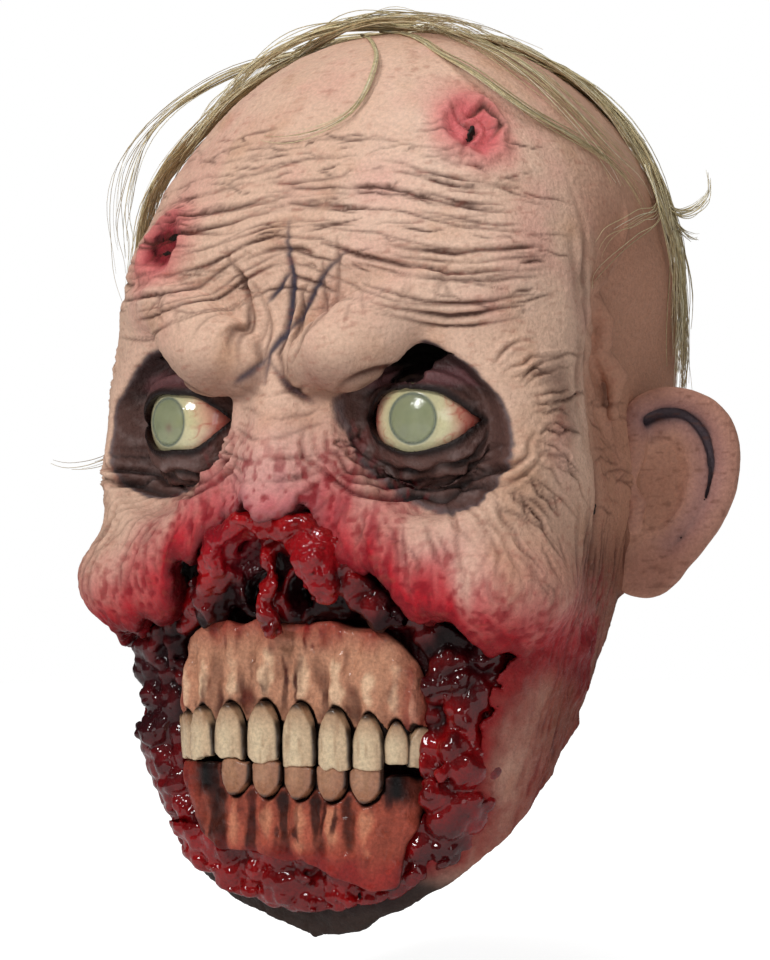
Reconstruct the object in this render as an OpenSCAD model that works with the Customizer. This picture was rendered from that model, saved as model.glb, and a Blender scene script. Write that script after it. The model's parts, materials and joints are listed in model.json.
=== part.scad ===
// Overhead latex zombie mask, worn like a helmet.
// Millimetres. X to the mask's left, -Y is the way the face looks, Z up.
// The origin is the middle of the neck opening.

/* [Head] */
// Height of the crown above the middle of the neck opening
crown_z = 240; // [236:1:244]
// Half width of the cranium above the ears
cranium_half_w = 81; // [78:1:83]
// Half width across the cheekbones
cheek_half_w = 85; // [83:1:87]
// Reach of the brow in front of the origin
brow_reach = 90; // [88:1:92]
// Reach of the back of the head behind the origin
back_reach = 100; // [96:1:104]
// Height where the cranium starts to close as a dome
dome_z = 145; // [142:1:148]
// Thickness of the cast latex
wall = 3; // [2.6:0.1:3.4]

/* [Eyes] */
// Half the distance between the eye centres
eye_x = 42; // [41:0.5:43]
// Height of the eye centres
eye_z = 111; // [110:0.5:112]
// Forward reach of the ball centres
eye_reach = 60; // [59:0.5:61]
// Radius of each eyeball dome
eye_r = 18; // [17:0.5:18.5]
// How far each eye looks outward, in degrees
eye_turn = 11; // [8:1:14]
// Radius of each sunken socket
socket_r = 30; // [28:0.5:31]
// Depth of each sunken socket
socket_depth = 20; // [18:0.5:22]
// Length of each view slit
slit_w = 26; // [22:1:28]
// Height of each view slit
slit_h = 8; // [7:0.5:8.5]

/* [Nose] */
// Radius of the raw flesh around the missing nose
nose_r = 18; // [17:0.5:18.5]
// Radius of each breathing hole
nostril_r = 4.5; // [4:0.25:5]

/* [Teeth and gums] */
// Half width of the dental arch
arch_half_w = 49; // [47:0.5:50]
// Reach of the gum's front in front of the origin
gum_reach = 79; // [78:0.5:80]
// Depth of the arch from its front to its ends
arch_depth = 44; // [40:1:46]
// Thickness of a gum
gum_t = 3; // [2.5:0.1:3.5]
// Thickness of a tooth
tooth_t = 4; // [3.5:0.1:4.5]
// Height where the upper and lower teeth meet
bite_z = 6; // [5:0.5:7]

/* [Ears] */
// Height of an ear
ear_h = 66; // [62:1:68]
// Width of an ear
ear_w = 38; // [36:1:40]
// Angle of the ear's plane from straight sideways
ear_sweep = 37; // [35:1:41]

/* [Hair] */
// Thickness of a lock that lies on the scalp
lock_t = 3; // [2:0.5:4]

/* [Hidden] */
columns = 60;
rings = 26;
column_step = 360 / columns;
seat = 0.15;
dome_corner = 2.15;
fine = 64;
probe = 0.01;
big = 200;

// Height against reach or width, up to the dome
front_profile = [[-50, 64], [-38, 68], [0, 74], [30, 76], [50, 79], [62, 85], [90, 88], [125, brow_reach], [145, 84]];
back_profile = [[-50, 60], [50, 64], [75, 74], [100, 87], [125, 96], [145, back_reach]];
width_profile = [
    [-50, 44], [-38, 54], [0, 67], [30, 76], [60, 83],
    [90, cheek_half_w], [120, 83], [145, cranium_half_w]
];
face_corner = [[-50, 2.8], [-38, 3.2], [0, 4.4], [60, 4.6], [120, 4], [160, 3], [crown_z, 2]];
nape_corner = 2.15;
// Angle from the chin round to the nape against the rim's height
rim_profile = [
    [0, -50], [15, -46], [30, -38], [50, -22], [65, -6], [80, 12], [87, 28], [95, 54], [110, 62], [140, 67], [180, 72]
];
// How far the sides pull in ahead of and behind the ears
side_inset = 8;

slit_z = eye_z + 18;
slit_lean = 14;
eye_half_h = 11;
eye_wall = 2;
eye_back = 0;
cornea_r = 8.5;
cornea_t = 1.2;
nose_z = 68.5;
nose_reach = 77;
nose_depth = 14;
nostril_x = 8.5;
nostril_z = 58;
gum_top = 50;
gum_bottom = -28;
gum_slope = 32;
gum_split = 0.3;
window_inset = 8;
arch_corner = 4.5;
arch_steps = 24;
upper_tooth_x = [6.5, 19, 30, 38, 43.5];
upper_tooth_w = [11.6, 11.2, 9.6, 6.6, 4.6];
upper_tooth_h = [17, 16, 14.5, 12.5, 11];
lower_tooth_x = [-17.5, -5.9, 5.9, 17.5, 29];
lower_tooth_w = 10.6;
lower_tooth_h = 11;
tooth_gap = 0.5;
ear_x = 74;
ear_y = 12;
ear_mid_z = 90;
ear_t = 5;
ear_rim_t = 9;
ear_rim_w = 4.5;
flesh_t = 4;

// Skin build-ups and hair locks: first and last column, first and last ring
left_cheek_span = [6, 10, 1, 5];
right_cheek_span = [50, 54, 1, 5];
chin_span = [56, 64, 0, 1];
crown_span = [10, 50, 20, 23];
forehead_span = [3, 8, 17, 19];
left_span = [15, 21, 11, 19];
right_span = [39, 47, 11, 19];
back_span = [23, 37, 11, 19];

upper_names = [for (i = [1:2 * len(upper_tooth_x)]) str("upper_tooth_", i)];
lower_names = [for (i = [1:len(lower_tooth_x)]) str("lower_tooth_", i)];

// ---- The head as a surface: s runs from the rim to the crown, t round from the face ----

function dome(z) = pow(max(0, 1 - pow((z - dome_z) / (crown_z - dome_z), dome_corner)), 1 / dome_corner);
function profile(z, table) = z > dome_z ? lookup(dome_z, table) * dome(z) : lookup(z, table);
function around(t) = let (a = t - 360 * floor(t / 360)) a > 180 ? 360 - a : a;
function head_z(s, t) = let (rim = lookup(around(t), rim_profile)) rim + s * (crown_z - rim);
function waist(z, t) = side_inset * exp(-pow((around(t) - 93) / 26, 2)) * smooth((165 - z) / 40);
function head_r(z, t) =
    let (
        n = cos(t) > 0 ? lookup(z, face_corner) : nape_corner,
        w = max(probe, profile(z, width_profile) - waist(z, t)),
        b = max(probe, profile(z, cos(t) > 0 ? front_profile : back_profile))
    )
    1 / pow(pow(abs(sin(t)) / w, n) + pow(abs(cos(t)) / b, n), 1 / n);
function smooth(v) = let (u = min(1, max(0, v))) u * u * (3 - 2 * u);
function socket_dent(x, z) =
    let (off = norm([abs(x) - eye_x, z - eye_z]) / socket_r)
    socket_depth * smooth(2 * (1 - off));
function head_point(s, t) =
    let (z = head_z(s, t), r = head_r(z, t), x = r * sin(t), dent = cos(t) > 0 ? socket_dent(x, z) : 0)
    [x, dent - r * cos(t), z];
function unit(v) = v / norm(v);
function head_normal(s, t) =
    let (
        low = max(0, s - probe),
        high = min(1 - probe / 10, s + probe)
    )
    unit(cross(head_point(s, t + 1) - head_point(s, t - 1), head_point(high, t) - head_point(low, t)));
function ring_s(i) = sin(90 * i / rings);
function skin(i, j, lift) =
    let (s = ring_s(i), t = j * column_step)
    head_point(s, t) + lift * head_normal(s, t);

function quad(a, b, c, d) = [[a, b, c], [a, c, d]];
function flat(list) = [for (part = list) each part];

// Closed shell over the whole head, one wall thick
module head_shell() {
    layer = rings * columns;
    points = concat(
        [for (i = [0:rings - 1], j = [0:columns - 1]) skin(i, j, 0)],
        [for (i = [0:rings - 1], j = [0:columns - 1]) skin(i, j, -wall)],
        [[0, 0, crown_z], [0, 0, crown_z - wall]]
    );
    function at(i, j) = i * columns + j % columns;
    walls = flat([
        for (i = [0:rings - 2], j = [0:columns - 1]) concat(
            quad(at(i, j), at(i + 1, j), at(i + 1, j + 1), at(i, j + 1)),
            quad(layer + at(i, j), layer + at(i, j + 1), layer + at(i + 1, j + 1), layer + at(i + 1, j))
        )
    ]);
    rim = flat([for (j = [0:columns - 1]) quad(at(0, j), at(0, j + 1), layer + at(0, j + 1), layer + at(0, j))]);
    crown = flat([
        for (j = [0:columns - 1]) [
            [at(rings - 1, j), 2 * layer, at(rings - 1, j + 1)],
            [layer + at(rings - 1, j), layer + at(rings - 1, j + 1), 2 * layer + 1]
        ]
    ]);
    polyhedron(points, concat(walls, rim, crown), convexity = 6);
}

// The head's whole outside volume, closed across the neck, grown by lift
module head_solid(lift) {
    top = rings * columns;
    points = concat(
        [for (i = [0:rings - 1], j = [0:columns - 1]) skin(i, j, lift)],
        [[0, 0, crown_z + lift], [0, 0, 0]]
    );
    function at(i, j) = i * columns + j % columns;
    walls = flat([
        for (i = [0:rings - 2], j = [0:columns - 1])
            quad(at(i, j), at(i + 1, j), at(i + 1, j + 1), at(i, j + 1))
    ]);
    ends = flat([
        for (j = [0:columns - 1]) [
            [at(rings - 1, j), top, at(rings - 1, j + 1)],
            [at(0, j), at(0, j + 1), top + 1]
        ]
    ]);
    polyhedron(points, concat(walls, ends), convexity = 6);
}

// Closed curved plate that follows the head, over span = [column, column, ring, ring]
module head_patch(span, inside, outside) {
    across = span[1] - span[0] + 1;
    up = span[3] - span[2] + 1;
    layer = across * up;
    points = concat(
        [for (i = [span[2]:span[3]], j = [span[0]:span[1]]) skin(i, j, outside)],
        [for (i = [span[2]:span[3]], j = [span[0]:span[1]]) skin(i, j, inside)]
    );
    function at(i, j) = i * across + j;
    sheets = flat([
        for (i = [0:up - 2], j = [0:across - 2]) concat(
            quad(at(i, j), at(i + 1, j), at(i + 1, j + 1), at(i, j + 1)),
            quad(layer + at(i, j), layer + at(i, j + 1), layer + at(i + 1, j + 1), layer + at(i + 1, j))
        )
    ]);
    low_high = flat([
        for (j = [0:across - 2]) concat(
            quad(at(0, j), at(0, j + 1), layer + at(0, j + 1), layer + at(0, j)),
            quad(at(up - 1, j), layer + at(up - 1, j), layer + at(up - 1, j + 1), at(up - 1, j + 1))
        )
    ]);
    last = across - 1;
    sides = flat([
        for (i = [0:up - 2]) concat(
            quad(at(i, 0), layer + at(i, 0), layer + at(i + 1, 0), at(i + 1, 0)),
            quad(at(i, last), at(i + 1, last), layer + at(i + 1, last), layer + at(i, last))
        )
    ]);
    polyhedron(points, concat(sheets, low_high, sides), convexity = 6);
}

// ---- Head skin ----

module view_slit(side) {
    translate([side * (eye_x - 2), 0, slit_z]) rotate([0, -side * slit_lean, 0]) rotate([90, 0, 0])
        linear_extrude(big) hull() for (end = [-1, 1])
            translate([end * (slit_w - slit_h) / 2, 0]) circle(d = slit_h, $fn = 20);
}

module head_skin() {
    color("tan") difference() {
        head_shell();
        for (side = [-1, 1]) {
            eye_front(side) eye_outline(-seat);
            view_slit(side);
        }
        nose_block(seat);
        mouth_window();
    }
}

// Opening that the gums fill, clear in front of them
module mouth_window() {
    half_w = arch_half_w - window_inset;
    height = gum_top - gum_bottom + 2 * seat;
    translate([0, 0, gum_bottom - seat]) {
        arch_block(seat, height);
        translate([-half_w, -gum_reach - window_inset, 0]) cube([2 * half_w, 2 * window_inset, height]);
    }
}

// ---- Eyes ----

module gaze(side) {
    translate([side * eye_x, -eye_reach, eye_z]) rotate([0, 0, side * eye_turn]) children();
}

// Half outline of a ball cut flat above and below, where the lids close over it
module eye_outline(inset) {
    intersection() {
        circle(eye_r - inset, $fn = fine);
        translate([0, inset - eye_half_h]) square([big, 2 * (eye_half_h - inset)]);
    }
}

// Front part of the ball, open behind
module eye_front(side) {
    gaze(side) difference() {
        rotate_extrude($fn = fine) children();
        translate([-big / 2, eye_back, -big / 2]) cube(big);
    }
}

module eye(side) {
    color("beige") eye_front(side) difference() {
        eye_outline(0);
        eye_outline(eye_wall);
    }
}

module cornea(side) {
    color("lightgreen") gaze(side) difference() {
        intersection() {
            sphere(eye_r + cornea_t, $fn = fine);
            rotate([90, 0, 0]) cylinder(h = big, r = cornea_r, $fn = fine);
        }
        sphere(eye_r + seat / 2, $fn = fine);
    }
}

// ---- Nose ----

module nose_block(grow) {
    translate([0, -nose_reach, nose_z]) rotate([90, 0, 0])
        cylinder(h = nose_depth, r = nose_r + grow, $fn = fine);
}

module nose_flesh() {
    color("darkred") difference() {
        nose_block(0);
        translate([0, -nose_reach - nose_depth - 2, nose_z]) sphere(nose_r - 3, $fn = fine);
        for (side = [-1, 1])
            translate([side * nostril_x, 0, nostril_z]) rotate([90, 0, 0])
                cylinder(h = big, r = nostril_r, $fn = fine);
    }
}

// ---- Gums and teeth ----

function arch_point(x, grow) =
    let (w = arch_half_w + grow, d = arch_depth + grow)
    [x, arch_depth - gum_reach - d * pow(max(0, 1 - pow(abs(x) / w, arch_corner)), 1 / arch_corner)];
function arch_outline(grow) = [
    for (i = [-arch_steps:arch_steps]) arch_point((arch_half_w + grow) * sin(90 * i / arch_steps), grow)
];

module arch_block(grow, height) {
    linear_extrude(height) polygon(arch_outline(grow));
}

module gum(low, high) {
    color("peru") difference() {
        translate([0, 0, low]) arch_block(0, high - low);
        translate([0, 0, low - 1]) arch_block(-gum_t, high - low + 2);
        translate([-big / 2, arch_depth - gum_reach - 2, low - 1]) cube([big, big, high - low + 2]);
    }
}

module upper_gum() {
    gum(bite_z + gum_split, gum_top);
}

// The lower gum's ends slope up, to stay behind the jaw's edge
module lower_gum() {
    difference() {
        gum(gum_bottom, bite_z - gum_split);
        translate([0, -gum_reach + 6, gum_bottom]) rotate([gum_slope, 0, 0])
            translate([-big / 2, -probe, -big]) cube([big, big, big]);
    }
}

// Tooth that stands on the gum's face: a rounded blade, narrow at the root
module tooth(x, w, h, up) {
    foot = arch_point(x, seat);
    lean = atan2(arch_point(x + 1, seat)[1] - arch_point(x - 1, seat)[1], 2);
    root = up ? bite_z + h : bite_z - h;
    edge = up ? bite_z + gum_split + 0.3 : bite_z - gum_split - 0.3;
    color("wheat") translate([foot[0], foot[1] - seat, 0]) rotate([0, 0, lean]) hull() {
        translate([0, 0, min(root, edge)]) tooth_slice(up ? w : w * 0.72);
        translate([0, 0, (root + edge) / 2]) tooth_slice(w);
        translate([0, 0, max(root, edge) - 1]) tooth_slice(up ? w * 0.6 : w * 0.96);
    }
}

// Flat back on the gum, crowned front
module tooth_slice(w) {
    linear_extrude(1) intersection() {
        translate([0, 0.6 * w - tooth_t]) circle(0.6 * w, $fn = 32);
        translate([-w / 2 + tooth_gap / 2, -big]) square([w - tooth_gap, big]);
    }
}

module upper_tooth(i) {
    n = len(upper_tooth_x);
    left = i > n;
    k = left ? i - n - 1 : n - i;
    tooth((left ? 1 : -1) * upper_tooth_x[k], upper_tooth_w[k], upper_tooth_h[k], true);
}

module lower_tooth(i) {
    tooth(lower_tooth_x[i - 1], lower_tooth_w, lower_tooth_h, false);
}

// ---- Ears ----

// Outline of an ear in its own plane: root at x = 0, lobe down
module ear_outline() {
    hull() {
        translate([ear_w * 0.45, ear_h * 0.23]) circle(ear_w * 0.5, $fn = 40);
        translate([ear_w * 0.2, ear_h * 0.3]) circle(ear_w * 0.3, $fn = 32);
        translate([ear_w * 0.3, -ear_h * 0.1]) circle(ear_w * 0.42, $fn = 32);
        translate([ear_w * 0.12, -ear_h * 0.38]) circle(ear_w * 0.2, $fn = 32);
    }
}

// Flat dish with a raised rim, its root buried in the head
module ear_dish() {
    difference() {
        linear_extrude(ear_rim_t, center = true) ear_outline();
        translate([0, 0, ear_t - ear_rim_t / 2]) linear_extrude(ear_rim_t) offset(-ear_rim_w) ear_outline();
    }
}

module ear() {
    color("tan") difference() {
        translate([ear_x, ear_y, ear_mid_z]) rotate([0, 0, ear_sweep]) rotate([90, 0, 0]) ear_dish();
        head_solid(seat);
    }
}

module left_ear() {
    ear();
}

module right_ear() {
    mirror([1, 0, 0]) ear();
}

// ---- Flesh and hair that lie on the skin ----

module flesh(span) {
    color("maroon") head_patch(span, seat, flesh_t);
}

module left_cheek_flesh() {
    flesh(left_cheek_span);
}

module right_cheek_flesh() {
    flesh(right_cheek_span);
}

module chin_flesh() {
    flesh(chin_span);
}

module hair(span) {
    color("khaki") head_patch(span, seat, lock_t);
}

head_skin();
left_ear();
right_ear();
eye(1);  // left_eye
eye(-1);  // right_eye
cornea(1);  // left_cornea
cornea(-1);  // right_cornea
nose_flesh();
left_cheek_flesh();
right_cheek_flesh();
chin_flesh();
upper_gum();
lower_gum();
hair(crown_span);  // crown_hair
hair(forehead_span);  // forehead_hair
hair(left_span);  // left_hair
hair(right_span);  // right_hair
hair(back_span);  // back_hair
for (i = [1:len(upper_names)])
    upper_tooth(i);
for (i = [1:len(lower_names)])
    lower_tooth(i);
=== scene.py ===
"""An overhead latex ghoul mask: sculpted skin, eyes, bare gums and teeth, raw flesh and sparse hair.

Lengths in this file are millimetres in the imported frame: +X the mask's left, -Y the way it faces, +Z up.
Pieces are sculpted as distance fields, meshed with surface nets, and scaled to metres as they are made.
"""

import json
import math

import bpy
import numpy as np
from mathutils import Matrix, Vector

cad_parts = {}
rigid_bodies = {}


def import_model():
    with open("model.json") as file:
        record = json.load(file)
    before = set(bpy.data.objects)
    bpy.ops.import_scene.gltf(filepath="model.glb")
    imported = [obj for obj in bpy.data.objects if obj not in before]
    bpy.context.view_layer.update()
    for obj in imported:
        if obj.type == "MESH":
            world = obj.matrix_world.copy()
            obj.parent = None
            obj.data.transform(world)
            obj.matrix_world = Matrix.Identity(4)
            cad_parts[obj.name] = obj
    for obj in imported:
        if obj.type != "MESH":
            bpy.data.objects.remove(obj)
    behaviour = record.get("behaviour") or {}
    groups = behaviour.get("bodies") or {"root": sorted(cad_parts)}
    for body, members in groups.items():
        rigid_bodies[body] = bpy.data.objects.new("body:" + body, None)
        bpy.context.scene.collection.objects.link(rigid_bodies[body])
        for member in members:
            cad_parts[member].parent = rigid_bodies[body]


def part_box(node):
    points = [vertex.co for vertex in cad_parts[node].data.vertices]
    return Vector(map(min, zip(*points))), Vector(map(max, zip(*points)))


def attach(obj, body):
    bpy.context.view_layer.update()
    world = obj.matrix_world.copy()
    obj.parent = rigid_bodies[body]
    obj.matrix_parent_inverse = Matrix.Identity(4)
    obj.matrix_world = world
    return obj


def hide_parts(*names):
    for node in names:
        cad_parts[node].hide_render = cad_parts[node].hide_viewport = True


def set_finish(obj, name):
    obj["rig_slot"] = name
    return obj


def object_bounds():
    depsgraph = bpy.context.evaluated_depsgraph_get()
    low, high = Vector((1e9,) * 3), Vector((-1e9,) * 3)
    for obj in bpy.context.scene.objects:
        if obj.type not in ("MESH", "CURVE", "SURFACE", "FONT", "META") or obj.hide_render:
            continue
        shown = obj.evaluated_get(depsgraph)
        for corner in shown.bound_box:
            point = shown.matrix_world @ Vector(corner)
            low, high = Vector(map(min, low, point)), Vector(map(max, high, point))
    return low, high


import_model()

CAD_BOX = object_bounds()
MM = 0.001
COARSE = 1.0
rng = np.random.default_rng(31)


# ---------------------------------------------------------------- small maths

def smoothstep(low, high, v):
    """0 at low, 1 at high, and smooth between. Low may be the greater."""
    t = np.clip((v - low) / (high - low), 0, 1)
    return t * t * (3 - 2 * t)


def bump(v, width):
    """1 at zero, falling away smoothly over the width on both sides."""
    return np.exp(-(v / width) ** 2)


def smooth_min(a, b, k):
    """The lesser of two fields, blended over a width of k."""
    h = np.clip(0.5 + 0.5 * (b - a) / k, 0, 1)
    return b + (a - b) * h - k * h * (1 - h)


def smooth_max(a, b, k):
    return -smooth_min(-a, -b, k)


def hashed(i, j, k, seed):
    """A fixed random value between -1 and 1 for each whole-number point."""
    h = (i * 73856093) ^ (j * 19349663) ^ (k * 83492791) ^ (seed * 2654435761 & 0x7FFFFFFF)
    h = h & 0x7FFFFFFF
    h = (h ^ (h >> 13)) * 1274126177 & 0x7FFFFFFF
    return ((h ^ (h >> 16)) & 0xFFFF) / 32767.5 - 1


def noise(x, y, z, size, seed=0):
    """Smooth value noise between -1 and 1, with features about size millimetres across."""
    x, y, z = (np.asarray(v, dtype=np.float64) / size for v in (x, y, z))
    i, j, k = (np.floor(v).astype(np.int64) for v in (x, y, z))
    u, v, w = (f * f * (3 - 2 * f) for f in (x - i, y - j, z - k))
    total = 0
    for a in (0, 1):
        for b in (0, 1):
            for c in (0, 1):
                weight = (u if a else 1 - u) * (v if b else 1 - v) * (w if c else 1 - w)
                total = total + weight * hashed(i + a, j + b, k + c, seed)
    return total


def fractal(x, y, z, size, seed=0, octaves=3):
    """Noise with finer and fainter noise on top."""
    total, amount = 0, 1.0
    for o in range(octaves):
        total = total + amount * noise(x, y, z, size / 2 ** o, seed + 17 * o)
        amount *= 0.5
    return total / 1.75


def curve_table(points, blur=7):
    """Smooth function through (z, value) points."""
    z = np.arange(points[0][0] - 40, points[-1][0] + 41, 1.0)
    v = np.interp(z, [p[0] for p in points], [p[1] for p in points])
    kernel = np.exp(-(np.arange(-3 * blur, 3 * blur + 1) / blur) ** 2)
    padded = np.pad(v, 3 * blur, mode="edge")
    smooth = np.convolve(padded, kernel / kernel.sum(), mode="valid")
    return lambda q: np.interp(q, z, smooth)


# ---------------------------------------------------------------- distance shapes

def ellipsoid(x, y, z, centre, radii):
    dx, dy, dz = x - centre[0], y - centre[1], z - centre[2]
    k0 = np.sqrt((dx / radii[0]) ** 2 + (dy / radii[1]) ** 2 + (dz / radii[2]) ** 2)
    k1 = np.sqrt((dx / radii[0] ** 2) ** 2 + (dy / radii[1] ** 2) ** 2 + (dz / radii[2] ** 2) ** 2)
    return k0 * (k0 - 1) / np.maximum(k1, 1e-6)


def tube(x, y, z, points, radii):
    """Round tube along a polyline. A point is (x, y, z), or (x, z) for a tube that runs on through y."""
    best = None
    for n in range(len(points) - 1):
        a, b = np.array(points[n], float), np.array(points[n + 1], float)
        ab = b - a
        q = (x, y, z) if len(a) == 3 else (x, z)
        t = sum((q[m] - a[m]) * ab[m] for m in range(len(a))) / max(ab @ ab, 1e-9)
        t = np.clip(t, 0, 1)
        d = np.sqrt(sum((q[m] - a[m] - t * ab[m]) ** 2 for m in range(len(a))))
        d = d - (radii[n] + (radii[n + 1] - radii[n]) * t)
        best = d if best is None else np.minimum(best, d)
    return best


def outline_distance(u, v, points):
    """Signed distance in a plane to a closed outline, negative inside."""
    best = np.full(np.shape(u), 1e9)
    inside = np.zeros(np.shape(u), bool)
    for n in range(len(points)):
        (ax, ay), (bx, by) = points[n], points[(n + 1) % len(points)]
        ex, ey = bx - ax, by - ay
        t = np.clip(((u - ax) * ex + (v - ay) * ey) / (ex * ex + ey * ey), 0, 1)
        best = np.minimum(best, np.hypot(u - ax - t * ex, v - ay - t * ey))
        crosses = (ay > v) != (by > v)
        inside ^= crosses & (u < ex * (v - ay) / ((by - ay) if by != ay else 1e-9) + ax)
    return np.where(inside, -best, best)


# ---------------------------------------------------------------- surface nets

def spread(values, samples, count):
    """Linear interpolation of a coarse grid onto every index."""
    for axis, (at, n) in enumerate(zip(samples, count)):
        full = np.arange(n)
        hi = np.clip(np.searchsorted(at, full, side="left"), 1, len(at) - 1)
        t = (full - at[hi - 1]) / (at[hi] - at[hi - 1])
        shape = [1, 1, 1]
        shape[axis] = n
        t = t.reshape(shape).astype(np.float32)
        values = np.take(values, hi - 1, axis) * (1 - t) + np.take(values, hi, axis) * t
    return values


def field_on_grid(field, axes, place, bands):
    """Evaluates field exactly near its surface and roughly elsewhere. A band is how far from it is near, in mm."""
    count = [len(a) for a in axes]
    values = None
    for stride, band in ((4, 1e9), (2, bands[0]), (1, bands[1])):
        samples = [np.unique(np.append(np.arange(0, n, stride), n - 1)) for n in count]
        if values is None:
            grid = np.meshgrid(*[a[s] for a, s in zip(axes, samples)], indexing="ij")
            coarse = field(*place(*grid)).astype(np.float32)
        else:
            coarse = values[np.ix_(*samples)].copy()
            near = np.nonzero(np.abs(coarse) < band)
            picked = [a[s][i] for a, s, i in zip(axes, samples, near)]
            coarse[near] = field(*place(*picked))
        values = spread(coarse, samples, count) if stride > 1 else coarse
    return values


def surface_net(values, axes, place, wrap=False):
    """Vertices and quads of the zero surface. With wrap, the first axis closes on itself."""
    if wrap:
        values = np.concatenate([values, values[:1]])
    inside = values < 0
    cells = [n - 1 for n in values.shape]
    total = np.zeros(cells, np.uint8)
    corners = [(a, b, c) for a in (0, 1) for b in (0, 1) for c in (0, 1)]
    for a, b, c in corners:
        total += inside[a:a + cells[0], b:b + cells[1], c:c + cells[2]]
    active = np.nonzero((total > 0) & (total < 8))
    index = np.full(cells, -1, np.int32)
    index[active] = np.arange(len(active[0]))
    at = {k: values[active[0] + k[0], active[1] + k[1], active[2] + k[2]] for k in corners}
    centre = np.zeros((3, len(active[0])))
    hits = np.zeros(len(active[0]))
    for axis in range(3):
        for k in corners:
            if k[axis]:
                continue
            far = tuple(v + (m == axis) for m, v in enumerate(k))
            cut = (at[k] < 0) != (at[far] < 0)
            t = np.where(cut, at[k] / np.where(cut, at[k] - at[far], 1), 0)
            for m in range(3):
                centre[m] += np.where(cut, k[m] + (t if m == axis else 0), 0)
            hits += cut
    place_at = []
    for m in range(3):
        line = axes[m]
        if wrap and m == 0:
            line = np.append(line, line[0] + 2 * math.pi)
        place_at.append(np.interp(active[m] + centre[m] / hits, np.arange(len(line)), line))
    points = np.stack(place(*place_at), -1)
    quads = []
    for axis in range(3):
        sl = [slice(0, n) for n in values.shape]
        sh = list(sl)
        sl[axis] = slice(0, -1)
        sh[axis] = slice(1, None)
        low, high = inside[tuple(sl)], inside[tuple(sh)]
        edge = np.nonzero(low != high)
        out = low[edge]
        p, q = [m for m in range(3) if m != axis]
        ring = []
        keep = np.ones(len(edge[0]), bool)
        for dp, dq in ((-1, -1), (0, -1), (0, 0), (-1, 0)):
            cell = [e.copy() for e in edge]
            cell[p] = cell[p] + dp
            cell[q] = cell[q] + dq
            for m in range(3):
                if wrap and m == 0:
                    cell[m] = cell[m] % cells[m]
                keep &= (cell[m] >= 0) & (cell[m] < cells[m])
                cell[m] = np.clip(cell[m], 0, cells[m] - 1)
            ring.append(index[tuple(cell)])
        ring = np.stack(ring, -1)
        if wrap and axis != 0:
            keep &= edge[0] < cells[0]
        flip = out if axis == 1 else ~out
        ring = np.where(flip[:, None], ring[:, ::-1], ring)[keep]
        quads.append(ring)
    return points, np.concatenate(quads)


def largest_part(points, quads):
    """Drops every loose crumb, and keeps the biggest connected piece."""
    label = np.arange(len(points))
    while True:
        low = label[quads].min(1)
        new = label.copy()
        for k in range(4):
            np.minimum.at(new, quads[:, k], low)
        new = new[new]
        if np.array_equal(new, label):
            break
        label = new
    keep = label == np.bincount(label).argmax()
    index = np.cumsum(keep) - 1
    return points[keep], index[quads[keep[quads[:, 0]]]]


def box_grid(low, high, step):
    """Axes of a plain grid over a box, and the function that places their points."""
    axes = [np.arange(a, b + step, step) for a, b in zip(low, high)]
    return axes, lambda x, y, z: (x, y, z)


def normals_of(points, quads):
    """Outward unit normal at every vertex."""
    a, b, c, d = (points[quads[:, n]] for n in range(4))
    n = np.cross(c - a, d - b)
    total = np.zeros_like(points)
    for m in range(4):
        np.add.at(total, quads[:, m], n)
    return total / np.maximum(np.linalg.norm(total, axis=1, keepdims=True), 1e-9)


def make_mesh(name, points, faces):
    mesh = bpy.data.meshes.new(name)
    mesh.from_pydata((points * MM).tolist(), [], faces.tolist() if hasattr(faces, "tolist") else faces)
    mesh.validate()
    mesh.polygons.foreach_set("use_smooth", [True] * len(mesh.polygons))
    mesh.update()
    return link_object(name, mesh)


def grown(field, low, high, step, bands=(8.0, 3.0)):
    """Vertices and quads of a field's surface in a box."""
    axes, place = box_grid(low, high, step * COARSE)
    return surface_net(field_on_grid(field, axes, place, bands), axes, place)


def sculpt(name, field, low, high, step):
    return make_mesh(name, *largest_part(*grown(field, low, high, step)))


def mesh_points(obj):
    flat = np.empty(len(obj.data.vertices) * 3, np.float32)
    obj.data.vertices.foreach_get("co", flat)
    return (flat.reshape(-1, 3) / MM).astype(np.float64)


def store(obj, name, values, colour=False):
    """Writes a value or a colour on every vertex."""
    if colour:
        layer = obj.data.attributes.new(name, "FLOAT_COLOR", "POINT")
        rgba = np.concatenate([values, np.ones((len(values), 1))], 1)
        layer.data.foreach_set("color", rgba.astype(np.float32).ravel())
    else:
        layer = obj.data.attributes.new(name, "FLOAT", "POINT")
        layer.data.foreach_set("value", np.asarray(values, np.float32))


def shade(r, g, b):
    """Linear colour from an ordinary 0 to 255 swatch."""
    v = np.array([r, g, b]) / 255
    return np.where(v <= 0.04045, v / 12.92, ((v + 0.055) / 1.055) ** 2.4)


def plain(swatch, count):
    return np.broadcast_to(shade(*swatch), (count, 3)).copy()


def mix(base, colour, amount):
    """Blends rows of linear colour towards a swatch, or towards other rows."""
    if isinstance(colour, tuple):
        colour = shade(*colour)
    amount = np.clip(amount, 0, 1)[:, None]
    return base * (1 - amount) + colour * amount


# ---------------------------------------------------------------- the head as a distance field

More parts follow.
